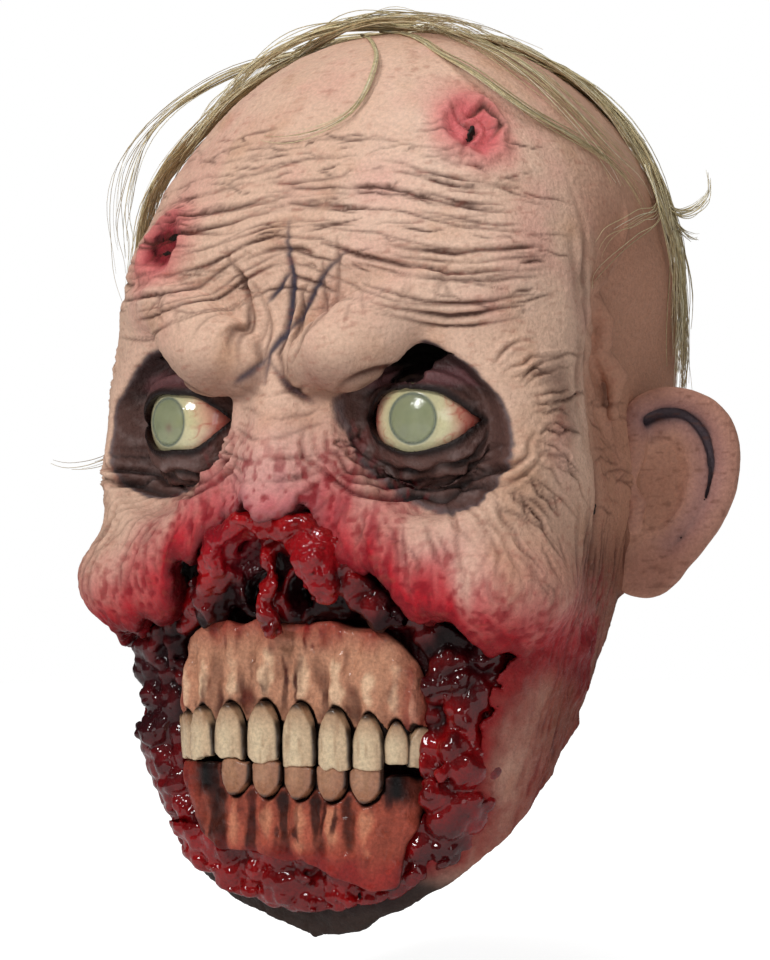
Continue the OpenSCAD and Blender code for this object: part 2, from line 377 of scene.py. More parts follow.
FRONT = curve_table([(-52, 62), (-38, 67), (0, 73), (30, 76), (50, 78), (62, 81), (90, 83), (125, 82), (145, 80)])
BACK = curve_table([(-52, 60), (50, 64), (75, 74), (100, 87), (125, 96), (145, 100)])
WIDTH = curve_table([(-52, 46), (-38, 57), (0, 69), (30, 77), (60, 83), (90, 86), (120, 85), (145, 83)])
CORNER = curve_table([(-52, 3.0), (-38, 3.8), (0, 5.0), (60, 5.0), (120, 4.4), (160, 3.4), (200, 2.4), (240, 2.15)])
RIM_ANGLE = [0, 15, 30, 50, 65, 80, 87, 95, 110, 140, 180]
RIM_HEIGHT = [-50, -46, -37, -20, -3, 14, 28, 54, 62, 67, 72]
DOME_Z, CROWN_Z = 145, 240
MIDDLE = np.array([0.0, 0.0, 70.0])

EYE = {side: np.array([42.0 * side, -60.0, 111.0]) for side in (1, -1)}
EYE_R = 18.0
NOSTRIL_X, NOSTRIL_Z = 8.5, 58
SOCKET_TILT = math.radians(-38)     # the sockets lean down to the nose
SKIN_THICK = 3.2

# Outline of the torn mouth, seen from the front, as (x, z).
TEAR = [(0, 84), (12, 82), (22, 72), (36, 61), (48, 53), (58, 46), (66, 42), (71, 41), (68, 30), (63, 19), (60, 8),
        (57, -6), (47, -21), (30, -32), (12, -37), (0, -38), (-12, -37), (-30, -32), (-48, -22), (-60, -5), (-66, 12),
        (-74, 28), (-84, 37), (-72, 38), (-58, 46), (-44, 52), (-33, 66), (-22, 74), (-12, 82)]


def eye_offset(x, y, z, side):
    """Distance from the middle of an eyeball."""
    return np.sqrt(sum((p - c) ** 2 for p, c in zip((x, y, z), EYE[side])))


def skull(x, y, z):
    """The plain head: squarish face, round nape and a domed crown."""
    q = np.minimum(z, DOME_Z)
    ahead = y < 0
    reach = np.where(ahead, FRONT(q), BACK(q))
    n = np.where(ahead, CORNER(z), 2.15)
    wide = WIDTH(q) - 9 * bump(y - 4, 36) * smoothstep(165, 125, z)
    flat = np.abs(x / wide) ** n + np.abs(y / reach) ** n
    rise = np.maximum(z - DOME_Z, 0) / (CROWN_Z - DOME_Z)
    f = (flat ** (2.15 / n) + rise ** 2.15) ** (1 / 2.15)
    r = np.sqrt(x * x + y * y + (rise * (CROWN_Z - DOME_Z)) ** 2)
    return (f - 1) * r / np.maximum(f, 0.05)


def brows(a, y, z):
    """The heavy lump at the inner end of each brow, and the ridge that runs out from it."""
    knot = tube(a, y, z, [(14, -81, 128.5), (23, -83, 131.5), (33, -80, 138)], [10, 13, 11.5])
    ridge = tube(a, y, z, [(32, -80, 139), (46, -77, 147), (61, -67, 146), (73, -54, 129), (76, -49, 108)],
                 [11, 9, 8.5, 6.5, 4.5])
    return smooth_min(knot, ridge, 5)


def face(x, y, z):
    """The skull with hollow sockets, brows that hang over them, cheeks and the root of the nose."""
    a = np.abs(x)
    d = skull(x, y, z)
    d = smooth_min(d, tube(a, y, z, [(6, -71, 164), (34, -71, 162), (60, -58, 158)], [7, 8, 7]), 14)
    cheek = ellipsoid(a, y, z, (62, -60, 60), (25, 25, 19))
    d = smooth_min(d, cheek, 8)
    d = smooth_min(d, tube(a, y, z, [(22, -75, 76), (44, -75, 66)], [11, 12]), 12)
    d = smooth_max(d, -ellipsoid(a, y, z, (97, -10, 130), (21, 34, 42)), 12)
    bridge = tube(x, y, z, [(0, -76, 130), (0, -80, 114), (0, -81, 98), (0, -80, 84)], [6, 8.5, 12, 15])
    d = smooth_min(d, bridge, 8)
    c, s = math.cos(SOCKET_TILT), math.sin(SOCKET_TILT)
    across, up = (a - 47.5) * c + (z - 108) * s, (z - 108) * c - (a - 47.5) * s
    socket = ellipsoid(across, y, up, (0, -81, 0), (31, 22, 24.5))
    d = smooth_max(d, -socket, 5)
    for side in (-1, 1):
        d = smooth_min(d, eye_offset(x, y, z, side) - EYE_R - 2.6, 3.0)
    crest = tube(a, y, z, [(54, -56, 184), (69, -38, 166), (73, -36, 142), (74, -41, 118), (76, -38, 92)],
                 [5, 6.5, 7, 6, 5])
    vein = tube(a, y, z, [(72, -22, 170), (75, -17, 160), (74, -20, 151), (77, -14, 142), (75.5, -15, 133),
                          (78, -8, 124), (77, -7, 114)], [1.5, 3.4, 3.2, 3.6, 3.2, 3.4, 1.5])
    d = smooth_min(d, vein, 2.0)
    d = smooth_min(d, crest, 5)
    return smooth_min(d, brows(a, y, z), 2.5)


def rim_height(x, y):
    """Height of the neck opening's edge, which climbs from the chin to the nape."""
    return np.interp(np.degrees(np.arctan2(np.abs(x), -y)), RIM_ANGLE, RIM_HEIGHT)


def tear(x, y, z):
    """Negative inside the torn mouth, with a ragged edge."""
    ragged = 2.6 * fractal(x, y * 0.4, z, 11, 5) + 1.2 * noise(x, y, z, 3.4, 6)
    drips = 4.2 * noise(x, 0 * x, z * 0.12, 6, 9) * smoothstep(20, 50, z)
    d = outline_distance(x, z, TEAR) + ragged + drips
    return np.maximum(d, y + 14 + 5 * noise(x, y, z, 7, 12))


def lid_opening(x, y, z, side):
    """Negative inside the almond between the lids, leaning down to the nose."""
    dx, dy, dz = (p - c for p, c in zip((x, y, z), EYE[side]))
    out = dx * side - 1.0
    dz = dz + 0.05 * out
    shape = 1 - (np.abs(out) / EYE_R) ** 2.8
    upper = dz - 8.6 * shape - 0.06 * out - 0.5 * noise(x, y, z, 7, 40)
    lower = -dz - 9.2 * shape + 0.5 * noise(x, y, z, 7, 41)
    ball = np.sqrt(dx * dx + dy * dy + dz * dz)
    return np.maximum(np.maximum(upper, lower), ball - 27)


def slit(x, y, z, side):
    """The wearer's view slit in the roof of a socket."""
    across = x * side - (42 if side > 0 else 38)
    up = z - 130.0 - 0.62 * (y + 70) - 0.2 * across
    tall = 5.6 if side > 0 else 3.4
    shape = tall * (1 - (across / 15.5) ** 2)
    if side > 0:
        shape = shape * (1 - 0.5 * smoothstep(1, 12, across)) + 0.9 * noise(x, y, z, 6, 60)
    return np.maximum(np.abs(up) - shape, np.maximum(y + 46, -y - 77))


def latex(x, y, z):
    """The whole skin: the outside less the space the head goes in."""
    d = face(x, y, z)
    flesh = tear(x, y, z)
    sunk = 9.5 * smoothstep(3, -3, np.maximum(outline_distance(x, z, TEAR) - 2, y + 6))
    hollow = d + SKIN_THICK + sunk
    d = np.maximum(d, -np.maximum(flesh, -(d + 9.0)))
    for side in (-1, 1):
        d = smooth_max(d, -lid_opening(x, y, z, side), 1.5)
        d = np.maximum(d, -(eye_offset(x, y, z, side) - EYE_R - 0.1))
        d = np.maximum(d, -slit(x, y, z, side))
        nostril = np.hypot(x - side * NOSTRIL_X, z - NOSTRIL_Z) - 4.3
        d = np.maximum(d, -np.maximum(nostril, y + 55))
    rough = 1.4 * noise(x, y, z, 9, 3) * smoothstep(10, -10, y)
    return smooth_max(np.maximum(d, -hollow), (rim_height(x, y) + rough - z) * 0.7, 1.0)


def head_grid(fine, coarse, low, high, step):
    """Spherical grid round the middle of the head, finest over the face."""
    def run(spans):
        return np.radians(np.concatenate([np.arange(*span) for span in spans]))
    around = run([(-180, -100, coarse), (-100, 100, fine), (100, 180, coarse)])
    up = run([(-89.6, -68, coarse), (-68, 52, fine), (52, 89.3, 0.5 * (fine + coarse))])
    up = np.append(up, np.radians([89.6, 90.4]))    # the last cells straddle the pole, which closes the crown
    axes = [around, up, np.arange(low, high, step)]

    def place(t, p, r):
        return r * np.cos(p) * np.sin(t), -r * np.cos(p) * np.cos(t), MIDDLE[2] + r * np.sin(p)
    return axes, place


# ---------------------------------------------------------------- surface detail, in unrolled face coordinates

class Skin:
    """Vertices of a skin piece, with the height and colours painted on them."""

    def __init__(self, points):
        self.x, self.y, self.z = points.T
        self.u = 80 * np.arctan2(self.x, -self.y)
        self.lift = np.zeros(len(points))
        self.wash_and_shade = np.zeros(len(points))
        self.ink = np.zeros(len(points))

    def line(self, points, width, depth, dark=1.0, ridge=0.5, ink=0.0, fade=True):
        """A crease along (u, z) points: a groove with a slight ridge beside it, and dark paint along it that also
        stands in for the groove's shade.
        """
        path = np.array(points, float)
        low, high = path.min(0) - 5 * width, path.max(0) + 5 * width
        near = np.nonzero((self.u > low[0]) & (self.u < high[0]) & (self.z > low[1]) & (self.z < high[1])
                          & (self.y < 60))[0]
        if not len(near):
            return
        u, z = self.u[near], self.z[near]
        best, along = np.full(len(near), 1e9), np.zeros(len(near))
        for n in range(len(path) - 1):
            a, b = path[n], path[n + 1]
            e = b - a
            t = np.clip(((u - a[0]) * e[0] + (z - a[1]) * e[1]) / max(e @ e, 1e-9), 0, 1)
            d = np.hypot(u - a[0] - t * e[0], z - a[1] - t * e[1])
            closer = d < best
            best = np.where(closer, d, best)
            along = np.where(closer, (n + t) / (len(path) - 1), along)
        thick = np.sin(math.pi * np.clip(along, 0.03, 0.97)) ** 0.5 if fade else 1.0
        broken = 0.65 + 0.35 * noise(u, z, 0 * u, 7, 80)
        w = width * (0.5 + 0.5 * thick)
        self.lift[near] += thick * broken * depth * (-bump(best, w) + ridge * bump(best - 2 * w, 1.2 * w))
        # Dark paint along the crease, which also stands in for the shade in the groove.
        self.wash_and_shade[near] = np.maximum(self.wash_and_shade[near], dark * thick * broken * bump(best, 0.8 * w))
        if ink:
            self.ink[near] = np.maximum(self.ink[near], ink * thick * bump(best, 0.9 * w))


def wander(start, end, bow=0.0, jitter=1.0, steps=7):
    """A wavering path between two points, bowed sideways."""
    t = np.linspace(0, 1, steps)
    a, b = np.array(start, float), np.array(end, float)
    side = np.array([a[1] - b[1], b[0] - a[0]])
    side = side / max(np.linalg.norm(side), 1e-9)
    path = a + (b - a) * t[:, None] + side * (bow * np.sin(math.pi * t))[:, None]
    return path + rng.normal(0, jitter, (steps, 1)) * side * np.sin(math.pi * t)[:, None] ** 0.3


def wrinkle_forehead(s):
    """Long broken furrows across the forehead, and short scratches between them."""
    for row in range(19):
        z = 146 + 2.6 * row + rng.normal(0, 0.9)
        reach = 78 - 1.3 * abs(row - 7)
        u = -reach + rng.uniform(0, 26)
        while u < reach:
            end = min(u + rng.uniform(18, 70), reach)
            steps = max(5, int((end - u) / 5))
            across = np.linspace(u, end, steps)
            rise = 4.5 * np.cos(across / 13) * smoothstep(184, 150, z) - 0.0013 * across ** 2
            rise = rise + 3.2 * noise(across, z + 0 * across, 0 * across, 30, 86) + rng.normal(0, 1)
            path = np.stack([across, z + rise + np.cumsum(rng.normal(0, 0.45, steps))], 1)
            strong = rng.uniform(0.15, 1.0) ** 1.3 * (1.25 - 0.06 * abs(row - 8))
            s.line(path, 0.45 + 0.45 * strong, 1.3 * strong, 0.4 + 0.95 * strong)
            u = end + rng.uniform(-6, 16)
    for _ in range(170):
        u, z = rng.uniform(-76, 74), rng.uniform(144, 202)
        path = wander((u, z), (u + rng.uniform(4, 18), z + rng.normal(0, 2.0)), 0, 0.4, 4)
        s.line(path, 0.5, 0.4, rng.uniform(0.35, 0.9))


def wrinkle_sockets(s):
    """Crow's feet, rays under the socket, the folds of the bag, and creases over and in the lids."""
    for side in (-1, 1):
        for n in range(30):
            a = math.radians(-88 + 5.0 * n + rng.normal(0, 1.4))
            start = (side * (50 + 21.5 * math.cos(a)), 108 + 21.5 * math.sin(a))
            reach, b = rng.uniform(7, 30), a * 0.8 - 0.25 + rng.normal(0, 0.12)
            end = (start[0] + side * reach * math.cos(b), start[1] + reach * math.sin(b))
            s.line(wander(start, end, side * rng.uniform(-1, 3.5), 0.5), 0.62, 0.85, rng.uniform(0.25, 0.8), 0.75)
        for n in range(13):
            a = math.radians(200 + 11 * n)
            start = (side * (41 + 30 * math.cos(a)), 107 + 27 * math.sin(a))
            end = (start[0] + side * 11 * math.cos(a) + side * 3, start[1] + rng.uniform(8, 18) * math.sin(a))
            s.line(wander(start, end, rng.normal(0, 1), 0.4, 5), 0.7, 0.5, 0.5)
        for n, r in enumerate((16.5, 19, 21.5, 24, 27)):
            arc = np.radians(np.linspace(186 + 12 * (n % 2), 352 - 14 * (n % 3), 18))
            wave = 1 + 0.025 * rng.normal(0, 1, len(arc))
            path = np.stack([side * (42 + 1.22 * r * wave * np.cos(arc)), 109 + 0.84 * r * wave * np.sin(arc)], 1)
            s.line(path, 0.95, 2.1, 1.0, 1.0)
        for _ in range(16):
            a = math.radians(rng.uniform(195, 345))
            r = rng.uniform(17, 26)
            start = (side * (42 + 1.2 * r * math.cos(a)), 109 + 0.84 * r * math.sin(a))
            end = (start[0] + side * rng.uniform(3, 7), start[1] + rng.uniform(-3.5, 1.5))
            s.line(wander(start, end, rng.normal(0, 1), 0.4, 5), 0.6, 0.9, 0.9, 0.8)
        for n, r in enumerate((14, 17.5)):
            arc = np.radians(np.linspace(12, 150, 12))
            path = np.stack([side * (41 + 1.3 * r * np.cos(arc)), 111 + 0.9 * r * np.sin(arc)], 1)
            s.line(path, 1.0, 1.0, 1.0, 0.6)
        for n in range(9):
            start = (side * (8 + 5.5 * n), 134 + 1.6 * n - 0.22 * max(0, n - 5) ** 2 + rng.normal(0, 1))
            end = (start[0] + side * rng.uniform(-2, 6), start[1] + rng.uniform(7, 16))
            s.line(wander(start, end, rng.normal(0, 2), 0.5, 5), 0.8, 0.5, 0.45)


def wrinkle_middle(s):
    """Frown lines, creases across the nose's root, and the dark veins between the brows."""
    for side in (-1, 1):
        for n in range(4):
            start = (side * (3 + 2.6 * n), 122 + 3 * n)
            end = (side * (6 + 4.5 * n), 148 + 6 * n)
            s.line(wander(start, end, side * rng.uniform(-4, 4), 0.8), 1.0, 1.1, 0.8)
        for n in range(5):
            z = 120 - 6.5 * n
            end = (side * (12 + 1.5 * n), z + rng.normal(1, 1))
            s.line(wander((side * 0.5, z - 2), end, rng.normal(0, 1), 0.4, 5), 0.8, 0.6, 0.5)
    s.line([(1.5, 172), (3, 163), (4.5, 154), (3.5, 146), (2.5, 138), (-2, 131), (-2.5, 122)],
           1.3, 0.9, 0.9, 0.9, 1.2)
    s.line([(4, 157), (-1, 151), (-5.5, 147)], 1.0, 0.7, 0.8, 0.8, 1.0)
    s.line([(23, 162), (15, 155), (11, 149), (7, 142), (2, 136)], 1.1, 0.8, 0.8, 0.8, 1.0)
    s.line([(-2, 131), (-7, 125), (-11, 122)], 1.0, 0.8, 0.8, 0.6, 0.9)
    s.line([(-2, 129), (5, 121), (12, 116)], 1.2, 1.4, 0.9, 0.6, 0.4)


def wrinkle_cheeks(s):
    """Fine creases on the cheeks, the jaw and in front of the ears, and veins and furrows at the temples."""
    for side in (-1, 1):
        for _ in range(34):
            u = side * rng.uniform(18, 100)
            top = 82 - 0.18 * abs(abs(u) - 45) + rng.uniform(-14, 4)
            end = (u + side * rng.uniform(-2, 7), top - rng.uniform(8, 20))
            s.line(wander((u, top), end, rng.normal(0, 1.5), 0.4, 5), 0.7, 0.45, 0.42)
        for _ in range(46):
            u, z = side * rng.uniform(84, 134), rng.uniform(-10, 84)
            end = (u - side * rng.uniform(2, 9), z - rng.uniform(14, 34))
            s.line(wander((u, z), end, rng.normal(0, 2), 0.5, 6), 0.6, 0.4, 0.55)
        for _ in range(20):
            u, z = side * rng.uniform(96, 128), rng.uniform(82, 116)
            end = (u + side * rng.uniform(10, 24), z - rng.uniform(-4, 8))
            s.line(wander((u, z), end, rng.normal(0, 2), 0.5, 5), 0.6, 0.4, 0.45)
        veins = [[(95, 172), (99, 160), (94, 150), (102, 140), (99, 130), (107, 121), (104, 112)],
                 [(102, 140), (113, 136), (119, 126), (128, 122)], [(94, 150), (109, 156), (117, 165), (124, 178)],
                 [(107, 121), (118, 112), (122, 104)]]
        for path in veins:
            s.line([(side * u, z) for u, z in path], 2.2, -1.9, 0.12, 0.35)
        s.line([(side * 100, 100), (side * 101, 84), (side * 98, 70), (side * 96, 56)], 3.2, 1.8, 0.5, 0.3)
        s.line([(side * 92, 186), (side * 95, 170), (side * 93, 150), (side * 97, 130), (side * 96, 112),
                (side * 99, 96)], 1.5, 1.0, 0.55, 0.5)
        s.line([(side * 88, 166), (side * 90, 150), (side * 91, 132), (side * 88, 115), (side * 92, 98)],
               3.0, 1.3, 0.25, 0.5, fade=True)


def wounds(s):
    """Two sores on the forehead: a split flap and a wet pit. Returns how raw and how wet each vertex is."""
    raw, wet = np.zeros(len(s.u)), np.zeros(len(s.u))
    for (u, z, size, deep) in ((62, 201, 11, 1.1), (-46, 167, 11, 1.5)):
        du, dz = s.u - u, s.z - z
        r = np.hypot(du, dz * 1.05) + 2.5 * fractal(s.u, s.z, s.y, 8, 70)
        near = (s.y < 0) & (np.abs(du) < 45)
        raw = np.maximum(raw, np.where(near, smoothstep(size * 1.9, size * 0.4, r), 0))
        core = np.where(near, smoothstep(size * 0.85, size * 0.45, r), 0)
        wet = np.maximum(wet, core)
        s.lift -= deep * core
        s.lift += np.where(near, 1.3 * bump(r - size * 0.95, 1.8), 0) - 0.5 * core * fractal(s.x, s.y, s.z, 3, 71)
    s.line([(55, 210), (58, 203), (63, 200), (58, 195), (56, 188)], 1.0, 2.0, 1.0, 0.6)
    s.line([(58, 203), (68, 208), (73, 202), (67, 197)], 0.9, 1.6, 1.0, 0.7)
    return raw, wet


def paint_head(s):
    """Raises and carves the skin in s.lift, and returns its colour and how wet it is."""
    x, y, z = s.x, s.y, s.z
    raw, wet = wounds(s)
    wrinkle_forehead(s)
    wrinkle_sockets(s)
    wrinkle_middle(s)
    wrinkle_cheeks(s)
    front = smoothstep(10, -20, y)
    edge = tear(x, y, z)
    inside_tear = smoothstep(0.8, -0.8, edge)
    s.lift += 0.22 * fractal(x, y, z, 5, 90) + 0.9 * fractal(x, y, z, 20, 91, 2) * front
    s.lift += 0.16 * fractal(x, y, z * 3.0, 3.0, 92)
    s.lift += 1.6 * bump(edge - 2.2, 2.6) * front * (0.7 + 0.6 * noise(x, y, z, 5, 93))

    tone = plain((224, 186, 162), len(x))
    tone = mix(tone, (234, 200, 180), smoothstep(-0.2, 0.9, fractal(x, y, z, 30, 100)) * 0.6)
    tone = mix(tone, (198, 150, 116), smoothstep(0.0, 0.9, fractal(x, y, z, 13, 101)) * 0.6)
    # Painted shade: the skin darkens where its relief is carved in, in creases and hollows.
    hollow = smoothstep(1.0, -3.5, s.lift)
    tone = mix(tone, (150, 98, 76), 0.5 * hollow * front)
    # Painted shade on the sides of the head behind the temple crests, which turn away from the light.
    temple = smoothstep(88, 108, np.abs(s.u) + 5 * fractal(x, y, z, 16, 98)) * smoothstep(205, 165, z)
    tone = mix(tone, (176, 124, 102), 0.85 * temple)
    # Painted shade: darker and browner on the lower face and the lower sides of the head, which face down and away
    # from the light.
    low = smoothstep(70, 20, z) * smoothstep(-62, -30, y)
    low = low + 0.7 * smoothstep(60, 92, np.abs(x)) * smoothstep(105, 70, z)
    tone = mix(tone, (166, 112, 88), np.clip(low, 0, 1) * 0.85)
    tone = mix(tone, (184, 134, 108), smoothstep(-45, 0, y) * 0.5)
    # Painted shadow on the side of the jaw, under the ear.
    behind = smoothstep(-54, -26, y) * smoothstep(86, 62, z)
    tone = mix(tone, (122, 76, 60), behind * 0.85)
    grainy = smoothstep(0.1, 0.8, noise(x * 1.5, y * 1.5, z * 0.12, 2.8, 111)) * smoothstep(-60, -34, y)
    tone = mix(tone, (84, 44, 34), grainy * smoothstep(96, 60, z) * 0.9)
    s.lift -= 0.4 * grainy * smoothstep(96, 60, z)
    blotch = smoothstep(0.0, 0.8, fractal(x, y, z, 18, 102)) * front
    tone = mix(tone, (214, 138, 132), 0.35 * blotch)

    # Airbrushed pink and red towards the tear.
    fibre = noise(x * 1.5, y, z * 0.22, 2.6, 112)
    wrapped = edge + 0.35 * np.maximum(0, y + 50)
    high = smoothstep(28, 42, z)
    near = smoothstep(38, 3, wrapped) * front * high * (1 - 0.85 * bump(x, 19) * smoothstep(80, 94, z))
    streak = 0.75 + 0.45 * fractal(x * 1.6, y, z * 0.45, 7, 103)
    tone = mix(tone, (202, 104, 108), near * streak)
    tone = mix(tone, (186, 26, 40), smoothstep(23, 2, wrapped) * front * streak * 1.25 * high
               * (1 - 0.7 * bump(x, 19) * smoothstep(80, 94, z)))
    tone = mix(tone, (112, 12, 20), smoothstep(7, 0, edge) * front)
    tone = mix(tone, (132, 30, 38), smoothstep(0.1, 0.7, fibre) * smoothstep(30, 5, wrapped) * high * 0.6)
    s.lift -= 0.35 * smoothstep(0.1, 0.7, fibre) * smoothstep(34, 8, edge) * front
    bridge = bump(x, 20) * bump(z - 92, 17) * front
    tone = mix(tone, (220, 150, 152), 0.5 * bridge)
    tone = mix(tone, (206, 70, 86), raw * 0.85)
    tone = mix(tone, (112, 18, 28), wet * 0.85 * smoothstep(20, -20, s.u))
    tone = mix(tone, (214, 108, 108), wet * 0.7 * smoothstep(20, 40, s.u))
    tone = mix(tone, (26, 6, 10), wet * smoothstep(-0.1, 0.5, fractal(x, y, z, 4, 110)) * smoothstep(20, -20, s.u))

    # Dark, wet sockets, with painted shade under the brows and painted highlights on the bags.
    dark = np.zeros(len(x))
    c, r = math.cos(SOCKET_TILT), math.sin(SOCKET_TILT)
    for side in (-1, 1):
        low, tall = (109, 24) if side > 0 else (111.5, 21.5)
        dx = ((x * side - 46.5) * c + (z - low) * r) / 30.5
        dz = ((z - low) * c - (x * side - 46.5) * r) / tall
        ring = np.sqrt(dx * dx + dz * dz) + 0.05 * fractal(x, y, z, 9, 104) + 0.015 * noise(x, y, z * 1.6, 3, 113)
        dark = np.maximum(dark, smoothstep(1.03, 0.92, ring) * (y < -20))
    brow = brows(np.abs(x), y, z)
    dark = dark * smoothstep(0.5, 2.5, brow)
    # Where the painted shadow under the brow lumps falls.
    under = smoothstep(5.0, 0.5, brow) * smoothstep(-2.0, 0.5, brow) * smoothstep(134, 122, z) * front
    grey = smoothstep(0.15, 0.6, dark) * smoothstep(1.0, 0.6, dark)
    tone = mix(tone, (116, 94, 90), smoothstep(0, 0.5, dark) * 0.85)
    deep = smoothstep(0.35, 0.95, dark)
    tone = mix(tone, (92, 64, 58), deep * 0.95)
    tone = mix(tone, (92, 86, 92), grey * 0.5)
    # Painted highlights: lighter patches where the folds of the bags catch the light.
    rise = smoothstep(-0.1, 0.7, fractal(x, y, z * 1.8, 4, 105)) * deep
    tone = mix(tone, (138, 118, 114), 0.6 * rise)
    # Painted shade in the top of each socket, under the overhanging brow.
    roof = smoothstep(116, 126, z) * deep
    tone = mix(tone, (44, 28, 30), 0.75 * roof)

    # The painted shadow under the brow lumps.
    tone = mix(tone, (96, 56, 46), under * 0.6)
    # Dark paint along every crease, which also stands in for the crease's shade; dark red near the tear and near
    # black in the sockets.
    wash_and_shade = np.clip(s.wash_and_shade * 1.55, 0, 1)
    wash_and_shade_tone = np.where(near[:, None] > 0.4, shade(90, 18, 24), shade(66, 32, 24))
    wash_and_shade_tone = np.where(deep[:, None] > 0.3, shade(16, 9, 9), wash_and_shade_tone)
    tone = mix(tone, wash_and_shade_tone, wash_and_shade * 0.9)
    tone = mix(tone, (62, 58, 72), np.clip(s.ink, 0, 1) * 0.9)
    speck = smoothstep(0.25, 0.7, noise(x * 0.7, y, z * 2.4, 1.9, 106)) * front
    tone = mix(tone, (150, 78, 62), 0.5 * speck * (1 - deep) * (0.5 + 0.5 * fractal(x, y, z, 14, 109)))
    stipple = smoothstep(0.05, 0.5, noise(x, y, z * 0.8, 1.7, 107)) * smoothstep(34, 4, edge) * front * high
    tone = mix(tone, (140, 16, 30), 0.8 * stipple)
    s.lift -= 0.28 * stipple

    # The torn wall behind the flesh, the view slits, and the inside, darkened as painted shade.
    tone = mix(tone, (46, 8, 10), inside_tear)
    wet = np.maximum(wet, 0.85 * inside_tear + 0.55 * smoothstep(6, 0, edge) * front)
    lids = np.zeros(len(x))
    for side in (-1, 1):
        near_eye = smoothstep(25, 22, eye_offset(x, y, z, side)) * (y < EYE[side][1])
        liner = smoothstep(3.4, 1.2, lid_opening(x, y, z, side)) * near_eye
        band = smoothstep(119.5, 122, z) * smoothstep(128, 124.5, z) * near_eye
        tone = mix(tone, (128, 84, 86), 0.6 * band)
        tone = mix(tone, (20, 12, 12), liner * 0.92)
        lids = np.maximum(lids, near_eye)
    wet = np.maximum(wet, 0.28 * deep + 0.5 * lids)
    chin = smoothstep(-20, -32, z + 3 * fractal(x, y, z, 12, 114)) * smoothstep(-20, -45, y)
    tone = mix(tone, (24, 8, 8), chin * 0.96)
    wet = np.maximum(wet, 0.3 * chin)
    jaw = smoothstep(29, 2, edge + 0.35 * np.maximum(0, y + 50)) * smoothstep(62, 32, z) * (y < 5)
    jaw = jaw * np.clip(streak + 0.1, 0, 1) * (0.9 + 0.3 * fractal(x, y, z, 14, 108))
    tone = mix(tone, (130, 10, 14), 0.92 * jaw * (1 - chin) * (1 - inside_tear))
    # Painted shade: the inside of the mask is darkened so that it reads black through the slits and holes.
    buried = smoothstep(-1.6, -2.6, face(x, y, z) + 8.6 * inside_tear)
    tone = mix(tone, (34, 26, 22), buried)
    return tone, np.clip(wet, 0, 1)


def build_head():
    """Meshes the latex, then pushes each vertex out by its painted relief."""
    axes, place = head_grid(0.47 * COARSE, 1.5, 52, 186, 0.55 * COARSE)
    values = field_on_grid(latex, axes, place, (26.0 * COARSE, 8.0 * COARSE))
    points, quads = largest_part(*surface_net(values, axes, place, wrap=True))
    s = Skin(points)
    tone, wet = paint_head(s)
    points = points + normals_of(points, quads) * s.lift[:, None]
    finish_piece(make_mesh("head_latex", points, quads), "head_skin", "latex_skin", tone, wet)


# ---------------------------------------------------------------- lumps, and pieces sculpted on a box grid

def lumps(x, y, z, size, seed=0):
    """Rounded cells: 1 at the middle of each lump, about 0 in the clefts between them."""
    x, y, z = (np.asarray(v, dtype=np.float64) / size for v in (x, y, z))
    i, j, k = (np.floor(v).astype(np.int64) for v in (x, y, z))
    best = np.full(np.shape(x), 9.0)
    for a in (-1, 0, 1):
        for b in (-1, 0, 1):
            for c in (-1, 0, 1):
                ci, cj, ck = i + a, j + b, k + c
                px = ci + 0.5 + 0.42 * hashed(ci, cj, ck, seed)
                py = cj + 0.5 + 0.42 * hashed(ci, cj, ck, seed + 1)
                pz = ck + 0.5 + 0.42 * hashed(ci, cj, ck, seed + 2)
                best = np.minimum(best, (x - px) ** 2 + (y - py) ** 2 + (z - pz) ** 2)
    return 1 - np.clip(best, 0, 1)


def finish_piece(obj, node, slot, tone=None, wet=None):
    """Stores a piece's paint and wetness when given, attaches it to the root body, hides the node it replaces and
    sets its finish slot.
    """
    if tone is not None:
        store(obj, "paint", np.clip(tone, 0, 1), colour=True)
        store(obj, "wet", wet)
    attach(obj, "root")
    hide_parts(node)
    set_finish(obj, slot)


def flesh_piece(name, node, field, low, high, step):
    """A piece of gore: painted highlight in brighter red where it stands proud, and painted shade in black in its
    clefts and recesses.
    """
    obj = sculpt(name, field, low, high, step)
    x, y, z = mesh_points(obj).T
    proud = skull(x, y, z) + 1.5 * fractal(x, y, z, 6, 201)
    proud = np.where(z > 46, -y - 88.5 + 2 * fractal(x, y, z, 6, 201), proud) if "nose" in name else proud
    wide = fractal(x, y, z, 16, 202)
    tone = plain((116, 5, 9), len(x))
    # Painted shade: near black where the flesh lies deep below the skull's surface.
    sunk = smoothstep(-1.5, -6.0, proud)
    tone = mix(tone, (26, 2, 4), sunk)
    # Painted highlight: brighter red on the parts that stand proud.
    tone = mix(tone, (172, 8, 14), smoothstep(-3, 1, proud) * smoothstep(-0.2, 0.5, wide) * 0.8)
    tone = mix(tone, (40, 2, 6), smoothstep(0.1, -0.4, wide) * 0.8)
    tone = mix(tone, (128, 8, 10), smoothstep(-20, -34, z) * smoothstep(-4, 0, proud) * 0.6)
    shadow = smoothstep(34, 60, -x) * smoothstep(56, 20, z) * (z > -30)
    tone = mix(tone, (32, 14, 20), 0.6 * shadow)
    tone = mix(tone, (150, 12, 22), smoothstep(9, 6, np.hypot(x - 17, (z - 68) * 0.75)) * (z > 50) * 0.7)
    tone = mix(tone, (150, 30, 44), bump(np.hypot(x + 16, z - 74), 9) * 0.5)
    # Painted shade: near black in a network of small clefts.
    cleft = smoothstep(0.30, 0.05, lumps(x, y, z, 2.8, 203))
    tone = mix(tone, (6, 1, 2), 0.75 * cleft)
    finish_piece(obj, node, "raw_flesh", tone, 1 - 0.7 * sunk)


ARCH_W, ARCH_REACH, ARCH_DEPTH, ARCH_CORNER = 49.0, 79.0, 44.0, 4.5


